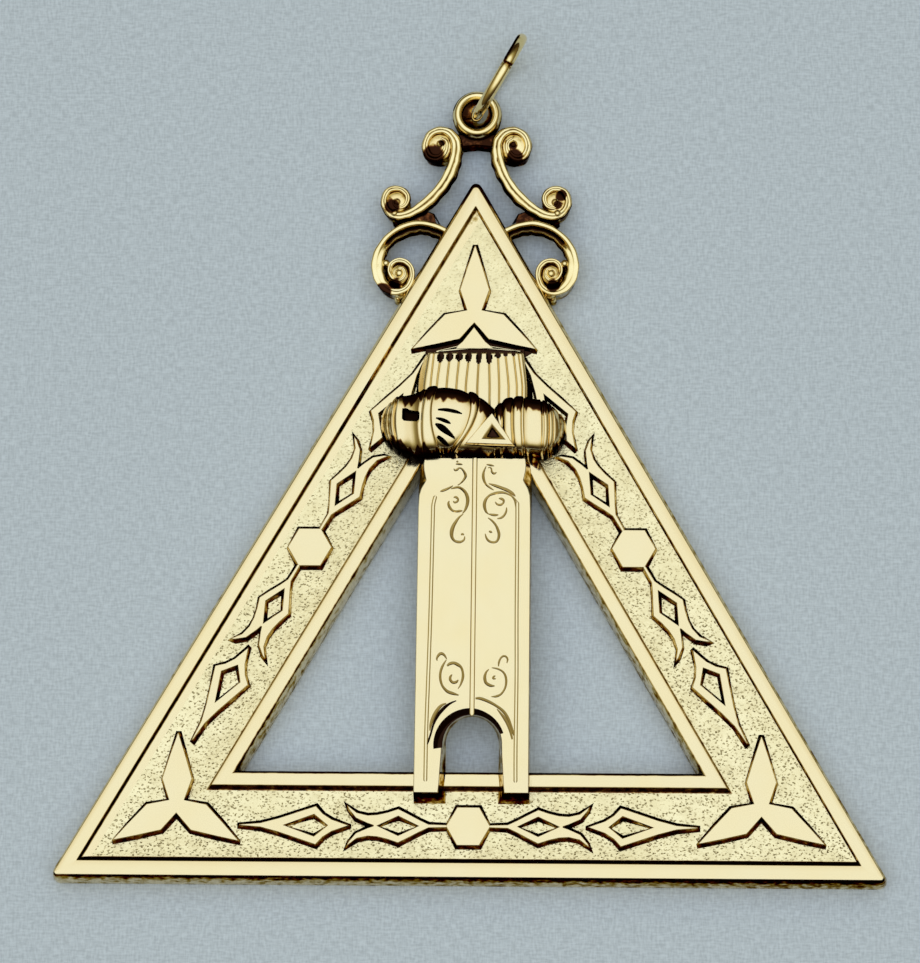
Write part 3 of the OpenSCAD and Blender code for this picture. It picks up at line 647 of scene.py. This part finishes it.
# Half outline of the face from the foot up: [x, y, x of the same place at the back]
RULE_SIDE = [
    (4.8, FOOT_Y, 4.86), (4.8, -12.5, 4.86), (4.78, -4.0, 4.84), (4.76, 4.0, 4.82), (4.74, 11.0, 4.8),
    (4.68, 12.1, 4.8), (4.5, 12.7, 4.8), (4.22, 13.2, 4.78), (4.12, 13.4, 4.76), (4.18, 13.7, 4.74),
    (4.3, 14.25, 4.72), (4.33, 14.7, 4.68), (4.3, 15.1, 4.62), (4.24, RULE_TOP, 4.45)]
LEG_INSIDE = [(2.52, -9.9, 2.24), (2.62, -11.4, 2.22), (2.68, -12.5, 2.2), (2.76, FOOT_Y, 2.2)]
# The graver's cuts: [x, y, width], all in the face, on the left and on the right of the line
CUTS_LEFT = [
    [(-1.49, 15.09, 0.06), (-1.49, 15.0, 0.13), (-1.49, 14.93, 0.05)],
    [(-1.62, 14.77, 0.05), (-1.47, 14.81, 0.11), (-1.24, 14.79, 0.12), (-1.05, 14.75, 0.05)],
    [(-1.78, 14.4, 0.05), (-1.67, 14.25, 0.1), (-1.49, 14.32, 0.13), (-1.32, 14.46, 0.09),
     (-1.12, 14.4, 0.1), (-0.91, 14.14, 0.13), (-0.78, 13.81, 0.16), (-0.87, 13.53, 0.13),
     (-1.12, 13.2, 0.09), (-1.44, 12.96, 0.05)],
    [(-2.9, 12.42, 0.07), (-2.67, 12.5, 0.14), (-2.35, 12.63, 0.14), (-2.08, 12.77, 0.11),
     (-1.84, 12.93, 0.05)],
    [(-1.99, 12.65, 0.05), (-1.76, 12.73, 0.11), (-1.39, 12.79, 0.14), (-1.03, 12.62, 0.16),
     (-0.73, 12.27, 0.18), (-0.58, 11.8, 0.2), (-0.61, 11.33, 0.18), (-0.77, 10.86, 0.13),
     (-1.0, 10.53, 0.05)],
    [(-1.0, 10.77, 0.05), (-1.23, 10.74, 0.14), (-1.55, 10.71, 0.13), (-1.87, 10.8, 0.13),
     (-2.1, 11.08, 0.16), (-2.2, 11.4, 0.13), (-2.13, 11.62, 0.05)],
    [(-1.79, 11.61, 0.05), (-1.67, 11.47, 0.11), (-1.43, 11.59, 0.12), (-1.4, 11.79, 0.11),
     (-1.58, 11.94, 0.14), (-1.77, 11.9, 0.05)],
    [(-0.93, 10.49, 0.05), (-1.27, 10.21, 0.11), (-1.54, 9.83, 0.16), (-1.75, 9.46, 0.2),
     (-1.89, 8.99, 0.22), (-1.87, 8.52, 0.18), (-1.66, 8.2, 0.14), (-1.33, 8.08, 0.16),
     (-1.06, 8.11, 0.13), (-0.83, 8.29, 0.1), (-0.79, 8.57, 0.05)],
    [(-1.11, 8.69, 0.05), (-0.98, 8.75, 0.14), (-0.84, 8.69, 0.05)],
    [(-2.95, -2.09, 0.05), (-3.0, -1.89, 0.1), (-2.84, -1.6, 0.15), (-2.64, -1.47, 0.17),
     (-2.38, -1.6, 0.13), (-2.16, -1.94, 0.05)],
    [(-2.19, -1.99, 0.05), (-2.5, -2.52, 0.13), (-2.68, -3.11, 0.14), (-2.67, -3.7, 0.14),
     (-2.49, -4.23, 0.13), (-2.1, -4.67, 0.17), (-1.62, -4.86, 0.17), (-1.12, -5.0, 0.06)],
    [(-2.13, -2.52, 0.1), (-1.89, -2.33, 0.17), (-1.56, -2.27, 0.17), (-1.22, -2.42, 0.19),
     (-0.95, -2.64, 0.14), (-0.82, -3.0, 0.13), (-0.79, -3.49, 0.15), (-0.96, -4.07, 0.1),
     (-1.19, -4.47, 0.04)],
    [(-1.69, -3.25, 0.05), (-1.83, -3.42, 0.13), (-1.85, -3.69, 0.15), (-1.63, -3.93, 0.15),
     (-1.34, -3.88, 0.15), (-1.17, -3.69, 0.05)],
    [(-2.16, -5.7, 0.06), (-2.57, -5.89, 0.15), (-2.94, -6.33, 0.19), (-3.24, -6.91, 0.19),
     (-3.43, -7.5, 0.15), (-3.5, -8.03, 0.05)],
    [(-1.32, -5.47, 0.06), (-1.8, -5.69, 0.12), (-2.32, -6.08, 0.19), (-2.84, -6.71, 0.19),
     (-3.2, -7.49, 0.12), (-3.44, -8.37, 0.11), (-3.67, -9.05, 0.11), (-3.9, -9.44, 0.06)]]
CUTS_RIGHT = [
    [(0.97, 14.76, 0.05), (1.19, 14.74, 0.11), (1.42, 14.69, 0.11), (1.63, 14.64, 0.04)],
    [(1.11, 14.48, 0.05), (1.29, 14.52, 0.07), (1.4, 14.38, 0.09), (1.43, 14.15, 0.11),
     (1.62, 13.99, 0.13), (1.84, 14.1, 0.05)],
    [(0.95, 14.62, 0.05), (0.77, 14.19, 0.11), (0.71, 13.77, 0.16), (0.8, 13.35, 0.14),
     (0.98, 13.02, 0.11), (1.26, 12.79, 0.11), (1.61, 12.56, 0.05)],
    [(1.19, 13.12, 0.05), (1.72, 12.95, 0.16), (2.27, 12.75, 0.18), (2.82, 12.52, 0.2),
     (3.24, 12.24, 0.16), (3.45, 12.02, 0.04)],
    [(1.04, 11.97, 0.05), (1.36, 12.16, 0.13), (1.86, 12.32, 0.16), (2.37, 12.36, 0.14),
     (2.82, 12.22, 0.1), (3.17, 12.0, 0.09), (3.4, 11.66, 0.1), (3.52, 11.16, 0.12)],
    [(2.95, 12.25, 0.05), (3.29, 11.95, 0.06), (3.67, 11.52, 0.04)],
    [(1.45, 12.2, 0.05), (1.06, 11.9, 0.14), (0.87, 11.52, 0.18), (0.85, 11.15, 0.18),
     (0.97, 10.73, 0.13), (1.2, 10.48, 0.05)],
    [(1.18, 10.5, 0.05), (1.47, 10.44, 0.13), (1.79, 10.41, 0.14), (2.04, 10.43, 0.05)],
    [(1.93, 10.1, 0.05), (2.25, 10.17, 0.12), (2.52, 10.39, 0.12), (2.69, 10.74, 0.11),
     (2.71, 11.07, 0.05)],
    [(1.75, 11.55, 0.05), (1.92, 11.34, 0.11), (2.19, 11.29, 0.13), (2.42, 11.44, 0.11),
     (2.46, 11.67, 0.13), (2.28, 11.81, 0.15), (2.05, 11.85, 0.05)],
    [(1.15, 10.17, 0.05), (1.48, 9.94, 0.11), (1.8, 9.57, 0.13), (2.02, 9.1, 0.16), (2.1, 8.64, 0.16),
     (1.95, 8.19, 0.13), (1.64, 8.06, 0.13), (1.27, 8.17, 0.13), (1.04, 8.44, 0.11), (0.94, 8.8, 0.05)],
    [(1.24, 9.0, 0.05), (1.38, 8.97, 0.14), (1.52, 8.89, 0.05)],
    [(2.87, -2.25, 0.05), (2.94, -1.95, 0.1), (2.81, -1.71, 0.11), (2.57, -1.66, 0.11),
     (2.34, -1.86, 0.1), (2.21, -2.2, 0.11), (2.18, -2.54, 0.05)],
    [(1.62, -2.65, 0.05), (2.1, -2.74, 0.1), (2.54, -2.98, 0.11), (2.78, -3.37, 0.13),
     (2.84, -3.91, 0.13), (2.72, -4.44, 0.11), (2.42, -4.88, 0.11), (2.03, -5.08, 0.13),
     (1.6, -5.11, 0.04)],
    [(1.38, -2.79, 0.05), (1.15, -3.04, 0.11), (1.04, -3.48, 0.17), (1.14, -3.92, 0.17),
     (1.5, -4.16, 0.17), (1.88, -4.2, 0.06)],
    [(1.94, -3.33, 0.05), (1.78, -3.42, 0.11), (1.75, -3.57, 0.11), (1.97, -3.59, 0.06)],
    [(0.28, -5.26, 0.1), (0.69, -5.27, 0.17), (1.37, -5.52, 0.17), (2.04, -5.89, 0.15),
     (2.62, -6.34, 0.17), (3.01, -6.92, 0.17), (3.26, -7.5, 0.13), (3.44, -8.08, 0.13),
     (3.54, -8.42, 0.05)],
    [(2.09, -6.15, 0.05), (2.58, -6.73, 0.15), (2.97, -7.36, 0.17), (3.22, -7.99, 0.15),
     (3.4, -8.71, 0.1)]]
# The borders are flat-bottomed channels from [x, y] down to [x, y]
BORDERS = [
    [(-3.34, 11.9), (-3.48, 11.2), (-3.5, 9.9), (-3.59, 2.0), (-3.7, -3.5), (-3.8, -8.0),
     (-3.82, -12.15)],
    [(3.61, 11.4), (3.63, 9.5), (3.65, 2.0), (3.7, -3.5), (3.68, -9.3), (3.7, -12.2)]]
# The arch's edge is cut back to a sloping hollow: [turn from the crown, inner radius, outer radius]
ARCH_HOLLOW = [
    (-99, 2.86, 3.22), (-90, 2.84, 3.2), (-70, 2.7, 3.14), (-45, 2.58, 3.07), (-20, 2.55, 3.01),
    (0, 2.52, 2.97), (25, 2.47, 2.86), (45, 2.48, 2.82), (60, 2.58, 2.8), (72, 2.74, 2.79)]
LINE_R = 0.22              # half the width of the plumb line
TONGUE = [(-3.3, 14.4), (3.3, 14.4), (3.3, 18.1), (2.9, 18.5), (-2.9, 18.5), (-3.3, 18.1)]


def table_at(table, x):
    """The table's row at x, between its rows."""
    for a, b in zip(table, table[1:]):
        if x <= b[0]:
            t = max(0, (x - a[0]) / (b[0] - a[0]))
            return [p + (q - p) * t for p, q in zip(a, b)]
    return list(table[-1])


def emblem_point(x, y):
    return (x + EMBLEM_X, y + MIDDLE_Y)


def graver_cut(bm, path, slope=0.3, surface=None, finish=0, above=0.06):
    """A V-shaped cut that runs out at both ends."""
    row = smooth_row(path, 4)
    sections = []
    for i, (x, y, width) in enumerate(row):
        way = way_at(row, i)
        side = Vector((-way.y, way.x))
        half = max(width * 1.55, 0.03) / 2
        reach = half * (1 + above / (half * 2 * slope))
        a, b = Vector((x, y)) - side * reach, Vector((x, y)) + side * reach
        face = surface(x, y) if surface else RULE_FACE
        sections.append([(*emblem_point(*a), face + above), (*emblem_point(*b), face + above),
                         (*emblem_point(x, y), face - half * 2 * slope)])
    loft(bm, sections, caps=True, finish=finish)


def channel(bm, path, width=0.34, depth=0.055):
    """A shallow channel with sloping walls and rounded ends."""
    row = smooth_row(path, 6)
    first, last = Vector(row[0]), Vector(row[-1])
    first_way, last_way = (Vector(row[1]) - first).normalized(), (last - Vector(row[-2])).normalized()
    stations, sections = [], []
    for a in (80, 50, 20):
        stations.append((first - first_way * width / 2 * sin(radians(a)), first_way, cos(radians(a))))
    for i, p in enumerate(row):
        way = (Vector(row[min(i + 1, len(row) - 1)]) - Vector(row[max(i - 1, 0)])).normalized()
        stations.append((Vector(p), way, 1))
    for a in (20, 50, 80):
        stations.append((last + last_way * width / 2 * sin(radians(a)), last_way, cos(radians(a))))
    for p, way, share in stations:
        side = Vector((-way.y, way.x))
        cut = [(-0.58, 0.04), (-0.5, 0), (-0.2, -depth), (0.2, -depth), (0.5, 0), (0.58, 0.04)]
        sections.append([(*emblem_point(*(p + side * s * width * share)), RULE_FACE + z) for s, z in cut])
    loft(bm, sections, caps=True)


def rule_painted_shade(row, col):
    """Painted shade on the walls: dark under the feet's ends, and lighter elsewhere."""
    return ((0, 0.4, 0.9, 0.6, 0.4) if whole[col][1] < FOOT_Y + 0.01 else (0, 0.1, 0.32, 0.36, 0.42))[row]


arch = [(ARCH_R * sin(radians(a)), ARCH_MIDDLE + ARCH_R * cos(radians(a)), ARCH_R * sin(radians(a)) * 0.9)
        for a in range(0, 96, 8)]
half = arch + LEG_INSIDE + RULE_SIDE
whole = half + [(-x, y, -b) for x, y, b in reversed(half) if x > 0.001]
rows = stepped([(x, y) for x, y, _ in whole],
               ((-0.05, RULE_FACE), (0.0, RULE_FACE - 0.05), (0.03, RULE_FACE - 0.25)), EMBLEM_X)
# Below the face's edge the walls lean out to the back, and the feet's ends lean most
for drop in (0.6, 1):
    row = []
    for x, y, b in whole:
        foot = y < -12.4
        lower = 0.6 * drop if y < -13 else 0.1 * drop if foot else 0
        z = RULE_FACE - (RULE_FACE - (FOOT_BACK if foot else RULE_BACK)) * drop
        row.append((*emblem_point(x + (b - x) * drop, y - lower), z))
    rows.append(row)
rule = bmesh.new()
for rim in loft(rule, rows, painted_shade=rule_painted_shade):
    bmesh.ops.triangle_fill(rule, edges=rim_edges(rim), use_beauty=True)
plumb_rule = finish_piece(rule, "plumb_rule_cast", [shaded_gilt, shadow_gilt], sharp=20)

cuts = bmesh.new()
# The last cut on the left is painted near-black, a painted shadow
for path in CUTS_LEFT + CUTS_RIGHT:
    graver_cut(cuts, path, finish=1 if path is CUTS_LEFT[-1] else 0)
for path in BORDERS:
    channel(cuts, path)
sections = []
for a in range(-99, 73, 3):
    way = Vector((sin(radians(a)), cos(radians(a))))
    _, near, far = table_at(ARCH_HOLLOW, a)
    deep = RULE_FACE - (far - near) * 1.05
    sections.append([(*emblem_point(way.x * r, ARCH_MIDDLE + way.y * r), z) for r, z in (
        (2.0, 4.9), (2.0, deep - 0.03), (near, deep), (far, RULE_FACE), (far + 0.03, 4.9))])
# The hollow's faces are painted near-black, a painted shadow
loft(cuts, sections, caps=True, paint=lambda row, col: 1 if col in (2, 3) else 0)
cut_away(plumb_rule, cuts, 16)

# The plumb line, and the hidden tongue under the turban
extra = bmesh.new()
line_cut = [(-LINE_R, -0.35), (-LINE_R, -0.02)]
line_cut += [(-LINE_R * cos(radians(a)), 0.5 * LINE_R * sin(radians(a))) for a in range(15, 166, 15)]
line_cut += [(LINE_R, -0.02), (LINE_R, -0.35)]
loft(extra, [[(*emblem_point(x * share, y), RULE_FACE + z * share) for x, z in line_cut] for y, share in (
    (-6.78, 0.05), (-6.76, 0.35), (-6.71, 0.62), (-6.63, 0.85), (-6.52, 1.0), (0, 1), (RULE_TOP, 1))],
     caps=True)
loft(extra, stepped(TONGUE, ((-0.06, 3.04), (0, 3.1), (0, 3.68), (-0.06, 3.74)), EMBLEM_X), caps=True)
plumb_line = finish_piece(extra, "plumb_line", [gilt], sharp=40)
for piece in (plumb_rule, plumb_line):
    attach(piece, "root")
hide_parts("plumb_rule")

# Turban
# A second casting, riveted over the triangle's upper corner: a ribbed cap that runs up under the leaves,
# with folds wound round its foot on both sides, a crossed end of cloth, and a small triangle badge.
SEAT = 3.06                # height of its underside, just above the rims
FOLD_MIDDLE = 3.85         # height of the folds' middle
SQUARE_Y, SQUARE_Z = 0.6, 0.4      # how square the folds' cut is
# The folds' outer shape along their length: [x, y of the lower side, y of the upper side, height]
WOUND_LEFT = [
    (-8.05, 17.6, 19.0, 4.4), (-7.95, 17.0, 19.6, 5.1), (-7.6, 16.35, 20.1, 5.8),
    (-7.0, 15.8, 20.55, 6.35), (-6.3, 15.35, 20.85, 6.7), (-5.5, 14.85, 21.1, 6.9),
    (-4.8, 14.95, 21.25, 7.0), (-4.3, 15.3, 21.35, 7.05), (-3.6, 15.38, 21.4, 7.08),
    (-2.4, 15.38, 21.35, 7.1), (-1.2, 15.38, 21.2, 7.08), (-0.2, 15.38, 20.85, 6.95),
    (0.5, 15.38, 20.3, 6.7), (1.4, 15.38, 19.6, 6.3), (2.3, 15.38, 19.1, 5.9)]
WOUND_RIGHT = [
    (1.3, 15.5, 19.2, 5.8), (1.9, 15.38, 19.9, 6.3), (2.6, 15.38, 20.4, 6.6), (3.4, 15.38, 20.6, 6.75),
    (4.3, 15.38, 20.6, 6.8), (5.2, 15.3, 20.5, 6.78), (6.0, 15.4, 20.25, 6.65), (6.7, 15.75, 19.85, 6.35),
    (7.2, 16.25, 19.4, 5.9), (7.55, 16.85, 18.95, 5.3), (7.72, 17.4, 18.5, 4.7)]
# Creases between the folds: [(x, y) above, (x, y) in the middle, (x, y) below], and how the fold after each
# swells
CREASES_LEFT = [[(-7.7, 19.8), (-8.03, 18.0), (-7.6, 16.0)], [(-7.05, 20.0), (-7.35, 17.7), (-6.7, 15.6)],
                [(-6.6, 20.2), (-6.85, 17.7), (-6.25, 15.4)], [(-4.16, 20.9), (-4.54, 17.6), (-4.28, 15.3)],
                [(-3.28, 20.8), (-3.5, 17.5), (-2.8, 15.4)], [(-0.66, 20.9), (-0.5, 18.5), (-2.25, 15.3)],
                [(0.32, 20.5), (0.1, 18.2), (-1.95, 15.2)], [(2.3, 19.6), (2.3, 17.6), (2.3, 15.4)]]
SWELLS_LEFT = [0.6, 0.9, -0.7, 1.0, 0.35, 1.0, 0.8]
CREASES_RIGHT = [[(1.3, 19.4), (1.3, 17.6), (1.3, 15.6)], [(2.25, 19.6), (2.3, 17.8), (2.3, 15.4)],
                 [(3.2, 20.0), (3.15, 17.8), (3.4, 15.5)], [(4.1, 20.3), (4.0, 17.8), (4.2, 15.4)],
                 [(5.62, 20.2), (5.8, 17.8), (5.7, 15.4)], [(6.1, 20.0), (6.3, 17.8), (6.15, 15.5)],
                 [(6.42, 19.9), (6.68, 17.8), (6.5, 15.6)], [(6.93, 19.6), (7.25, 17.8), (7.08, 15.8)],
                 [(7.5, 19.1), (7.7, 17.8), (7.5, 16.4)]]
SWELLS_RIGHT = [0.8, 0.9, 0.8, -0.35, 0.8, 0.8, 0.7, 0.7]
# Cuts across the leaf of cloth and the hollow fold beside it: [x, y, width]
LEAF_CUTS = [
    [(-3.1, 18.97, 0.1), (-2.4, 18.95, 0.2), (-1.6, 18.8, 0.2), (-1.05, 18.62, 0.06)],
    [(-3.25, 18.25, 0.08), (-2.8, 18.12, 0.2), (-2.3, 17.92, 0.2), (-2.0, 17.75, 0.06)],
    [(-3.3, 17.75, 0.1), (-2.9, 17.5, 0.34), (-2.5, 17.2, 0.36), (-2.0, 16.8, 0.22), (-1.65, 16.5, 0.08)],
    [(-3.15, 16.65, 0.12), (-2.8, 16.45, 0.34), (-2.45, 16.2, 0.38), (-2.15, 15.95, 0.15)]]
SQUARE_CUT = [
    (-6.14, 19.2), (-5.8, 19.23), (-5.5, 19.05), (-4.72, 18.86), (-4.62, 18.7), (-4.64, 18.15),
    (-4.85, 17.95), (-5.5, 18.03), (-6.0, 18.1), (-6.16, 18.3)]
# Edges of the ribs: [x at the knobs, x two millimetres lower, lower end of the gap there, or 0]
RIB_EDGES = [
    (-4.12, -4.44, 0), (-3.6, -3.8, 0), (-2.97, -3.25, 23.62), (-2.22, -2.43, 23.7), (-1.4, -1.6, 23.74),
    (-0.58, -0.8, 23.66), (0.25, 0.15, 23.52), (1.07, 1.15, 23.53), (1.84, 1.95, 24.02),
    (2.47, 2.72, 24.15), (3.15, 3.42, 24.19), (3.6, 3.9, 0), (4.02, 4.27, 0)]
ACROSS_RIB = [0, 0.07, 0.13, 0.19, 0.24, 0.3, 0.4, 0.5, 0.6, 0.7, 0.76, 0.81, 0.87, 0.93]
CAP_ROWS = [
    17.6, 19.0, 20.5, 21.5, 22.3, 22.9, 23.3, 23.45, 23.55, 23.65, 23.75, 23.85, 23.95, 24.05, 24.12,
    24.18, 24.25, 24.32, 24.38, 24.43, 24.47, 24.5, 24.52, 25.15]
KNOB_TOP = 24.3            # where the knobs' ends turn down to the trough
TROUGH = 24.51             # where the trough's bottom begins
HEM = [(-3.5, 24.84), (-3.36, 24.8), (-2.83, 24.96), (-1.77, 25.08), (0.04, 25.14), (1.42, 25.11),
       (2.48, 25.04), (3.28, 24.93), (3.6, 24.86), (3.8, 24.95), (1.15, 25.4), (0.72, 25.75), (-0.26, 27.05),
       (-1.24, 25.75), (-1.65, 25.4), (-3.45, 24.96)]
HEM_WALL = [(0.5, 2.38), (0.46, 2.46), (0.04, 2.5), (0.02, 3.25), (0.0, 3.32), (-0.03, 3.35), (-0.05, 3.35),
            (-0.07, 3.35)]
BADGE = [(-0.74, 16.08), (3.3, 15.96), (1.47, 18.72)]
BADGE_EYE = [(0.78, 16.55), (2.45, 16.5), (1.46, 17.78)]


def crease_at(crease, y):
    """A crease's x at the height y, on the parabola through its three points."""
    (x0, y0), (x1, y1), (x2, y2) = crease
    return (x0 * (y - y1) * (y - y2) / ((y0 - y1) * (y0 - y2))
            + x1 * (y - y0) * (y - y2) / ((y1 - y0) * (y1 - y2))
            + x2 * (y - y0) * (y - y1) / ((y2 - y0) * (y2 - y1)))


def wound_folds(bm, wound, creases, swells, per_fold=14, around=84, depth=0.2):
    """Cloth folds wound side by side, with a crease between each two, with painted shade and painted dark
    reflection above and below.
    """
    sections, dark = [], []
    for i, (a, b) in enumerate(zip(creases, creases[1:])):
        for k in range(per_fold + (i == len(creases) - 2)):
            t = (1 - cos(pi * k / per_fold)) / 2
            nominal = a[1][0] + (b[1][0] - a[1][0]) * t
            _, low, high, top = table_at(wound, nominal)
            if swells[i] > 0:
                shrink = depth * (1 - swells[i] * (1 - abs(2 * t - 1) ** 4))
            elif 0.07 < t < 0.93:
                shrink = depth * (0.3 - 2 * swells[i] * max(0, 1 - (abs(2 * t - 1) / 0.85) ** 3))
            else:
                shrink = depth
            section, marks = [], []
            # The painted shade has a ragged edge, and is narrower towards the folds' ends and patchy on the
            # right, and a little more lies over the ends themselves
            ragged = 0.16 * sin(9 * nominal) + 0.14 * sin(23 * nominal + 1) + 0.1 * sin(61 * nominal)
            above = (1.55 + ragged) * max(0.1, min(1, (7.2 - abs(nominal)) / 1.2))
            below = (0.95 if -7.2 < nominal < -4.3 else 0.42) - 0.8 * ragged
            patchy = 0.6 if nominal > 3.0 else 1
            ends = 0.34 * max(0, min(1, (abs(nominal) - 6.6) / 0.5))
            for j in range(around):
                turn = radians(-35 + 250 * j / (around - 1))
                c, s = cos(turn), sin(turn)
                y = (low + high) / 2 - ((high - low) / 2 - shrink) * copysign(abs(c) ** SQUARE_Y, c)
                z = FOLD_MIDDLE + (top - shrink - FOLD_MIDDLE) * copysign(abs(s) ** SQUARE_Z, s)
                x = crease_at(a, y) + (crease_at(b, y) - crease_at(a, y)) * t
                section.append((*emblem_point(x, y), max(z, SEAT)))
                shade = max((y - high + above) / 0.5 + 0.3, ((low + below - y) / 0.4 + 0.3) * patchy)
                marks.append(max(0, min(1.2, shade)) * (1 if 0.03 < t < 0.97 else 0.45) + ends)
            sections.append(section)
            dark.append(marks)
    loft(bm, sections, caps=True, painted_shade=lambda row, col: dark[row][col])


def on_folds(x, y):
    """Height of the folds at the place."""
    start = Vector((*emblem_point(x, y), 20)) * MM
    return folds.ray_cast(start, Vector((0, 0, -1)))[1].z / MM


turban = bmesh.new()
wound_folds(turban, WOUND_LEFT, CREASES_LEFT, SWELLS_LEFT)
wound_folds(turban, WOUND_RIGHT, CREASES_RIGHT, SWELLS_RIGHT)
folds = finish_piece(turban, "turban_folds", [shaded_gilt, shadow_gilt], sharp=50)
bpy.context.view_layer.update()
nicks = bmesh.new()
# The cuts across the leaf and the square in the hollow fold are painted near-black, a painted shadow
for path in LEAF_CUTS:
    graver_cut(nicks, path, 0.7, on_folds, finish=1)
loft(nicks, [[(*emblem_point(*p), on_folds(*p) + lift) for p in grown(SQUARE_CUT, out)]
             for out, lift in ((0.02, 0.5), (0.0, 0.05), (-0.12, -0.5), (-0.2, -0.62))], caps=True, finish=1)
cut_away(folds, nicks, 50)

# The cap: ribs that fan out downwards and end in round knobs, with gaps between them, under a trough; the
# gaps, the trough and the cap's sloping sides are painted near-black as shade
turban = bmesh.new()
rows, dark = [], []
for y in CAP_ROWS:
    fan = max(min(1.25, (24.4 - y) / 2.13), 0)
    edges = [top + (low - top) * fan for top, low, _ in RIB_EDGES]
    foot_left = edges[0] - min(0.6, 0.35 + 0.15 * (24.4 - y))
    foot_right = edges[-1] + max(0.05, min(0.5, 0.2 * (23.6 - y)))
    row, marks = [(*emblem_point(foot_left, y), SEAT)], [1]
    for i, (a, b) in enumerate(zip(edges, edges[1:])):
        for t in ACROSS_RIB + [1] * (i == len(edges) - 2):
            x = a + (b - a) * t
            away, gap_low, _ = min((x - a, RIB_EDGES[i][2], i), (b - x, RIB_EDGES[i + 1][2], i + 1))
            # The gaps between the knobs are wider above, and round at their lower ends
            in_gap = False
            if gap_low and y > gap_low - 0.02:
                wide = 0.25 if 23.9 < y < 24.2 else 0.2 if y < KNOB_TOP else 0.15 if y < 24.44 else 0.22
                in_gap = away < wide * min(1, sqrt(max(0, y - gap_low) / 0.12 + 0.05))
            z = 4.8 + 0.07 * (1 - abs(2 * t - 1) ** 3) - 0.03 * (t in (0, 1))
            if y > KNOB_TOP:
                z -= 0.3 * (1 - sqrt(max(0, 1 - ((y - KNOB_TOP) / 0.2) ** 2)))
            if in_gap:
                z = 3.5
            if y > TROUGH:
                z = 3.2
            edge = abs(2 * (x - edges[0]) / (edges[-1] - edges[0]) - 1)
            row.append((*emblem_point(x, y), max(z - 0.2 * edge ** 24, 3.15)))
            marks.append(1 if in_gap or y > 24.45 else 0)
    row.append((*emblem_point(foot_right, y), SEAT))
    marks.append(1)
    rows.append(row)
    dark.append(marks)
loft(turban, rows, caps=True, paint=lambda row, col: dark[row][col])
# The hem, a flat plate that runs up into the notch between the leaves, with a painted shadow round it: its
# skirt and its wall are painted near-black
loft(turban, stepped(HEM, HEM_WALL, EMBLEM_X), caps=True, paint=lambda row, col: 0 if row > 3 else 1)
# The badge: a triangle with a smaller one sunk in it; its outer wall and the sunk eye are painted near-black
# as shade
badge_rows = stepped(BADGE, ((0.1, 4.4), (0.05, 6.6), (0.0, 6.93), (-0.05, 7.0)), EMBLEM_X)
badge_rows += stepped(BADGE_EYE, ((0.14, 7.0), (0.08, 6.97), (-0.16, 6.72), (-0.2, 6.5), (-0.22, 6.48)),
                      EMBLEM_X)
loft(turban, badge_rows, caps=True, finish=1, paint=lambda row, col: 1 if row < 2 or row > 6 else 0)
cap = finish_piece(turban, "turban_cap", [shaded_gilt, shadow_gilt], sharp=45)
for piece in (folds, cap):
    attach(piece, "root")
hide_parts("turban")

# Jump ring
# A split ring of round gold-plated wire, closed through the loop, that hangs the jewel from its collar.
# It is bent to a circle and pressed shut, so a fine gap stays between its ends.
RING_MIDDLE = Vector((1.910, 64.587, 4.292))
RING_AXIS = Vector((0.8633, -0.4746, -0.1719)).normalized()
RING_R = 3.87
WIRE = 0.96                # thickness of the wire
FIRST, TURN, STEPS = -4.8, 356.6, 72       # the wire's first end and how far round it runs, in degrees
ring = bmesh.new()
up_way = (Vector((0, 0, 1)) - RING_AXIS * RING_AXIS.z).normalized()
along_way = RING_AXIS.cross(up_way)
turns = [FIRST + TURN * k / STEPS for k in range(STEPS + 1)]
wire_rows = []
for k, degrees in enumerate(turns):
    out = up_way * cos(radians(degrees)) + along_way * sin(radians(degrees))
    ease = 0.9 if k in (0, STEPS) else 1.0
    wire_rows.append([RING_MIDDLE + out * RING_R + (out * cos(a) + RING_AXIS * sin(a)) * WIRE / 2 * ease
                      for a in (2 * pi * j / 24 for j in range(24))])
# A dark streak beside the joint, and the wire's ends a little darker
loft(ring, wire_rows, caps=True, painted_shade=lambda row, col: 1.1 if 17 < col < 22 and 300 < turns[row] < 350 else
     0.5 if row in (0, STEPS) else 0.2)
jump_ring = finish_piece(ring, "jump_ring_wire", [bright], sharp=40)
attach(jump_ring, "root")
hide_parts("jump_ring")

# Rivets
# Four plain gilt rivets through the triangle: two hold the rule's feet, and two the turban. Their heads
# lie in the recesses in its back, and they keep the part's own shapes.
for node in ("rivet_foot_left", "rivet_foot_right", "rivet_turban_left", "rivet_turban_right"):
    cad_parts[node].data.materials.clear()
    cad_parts[node].data.materials.append(gilt)
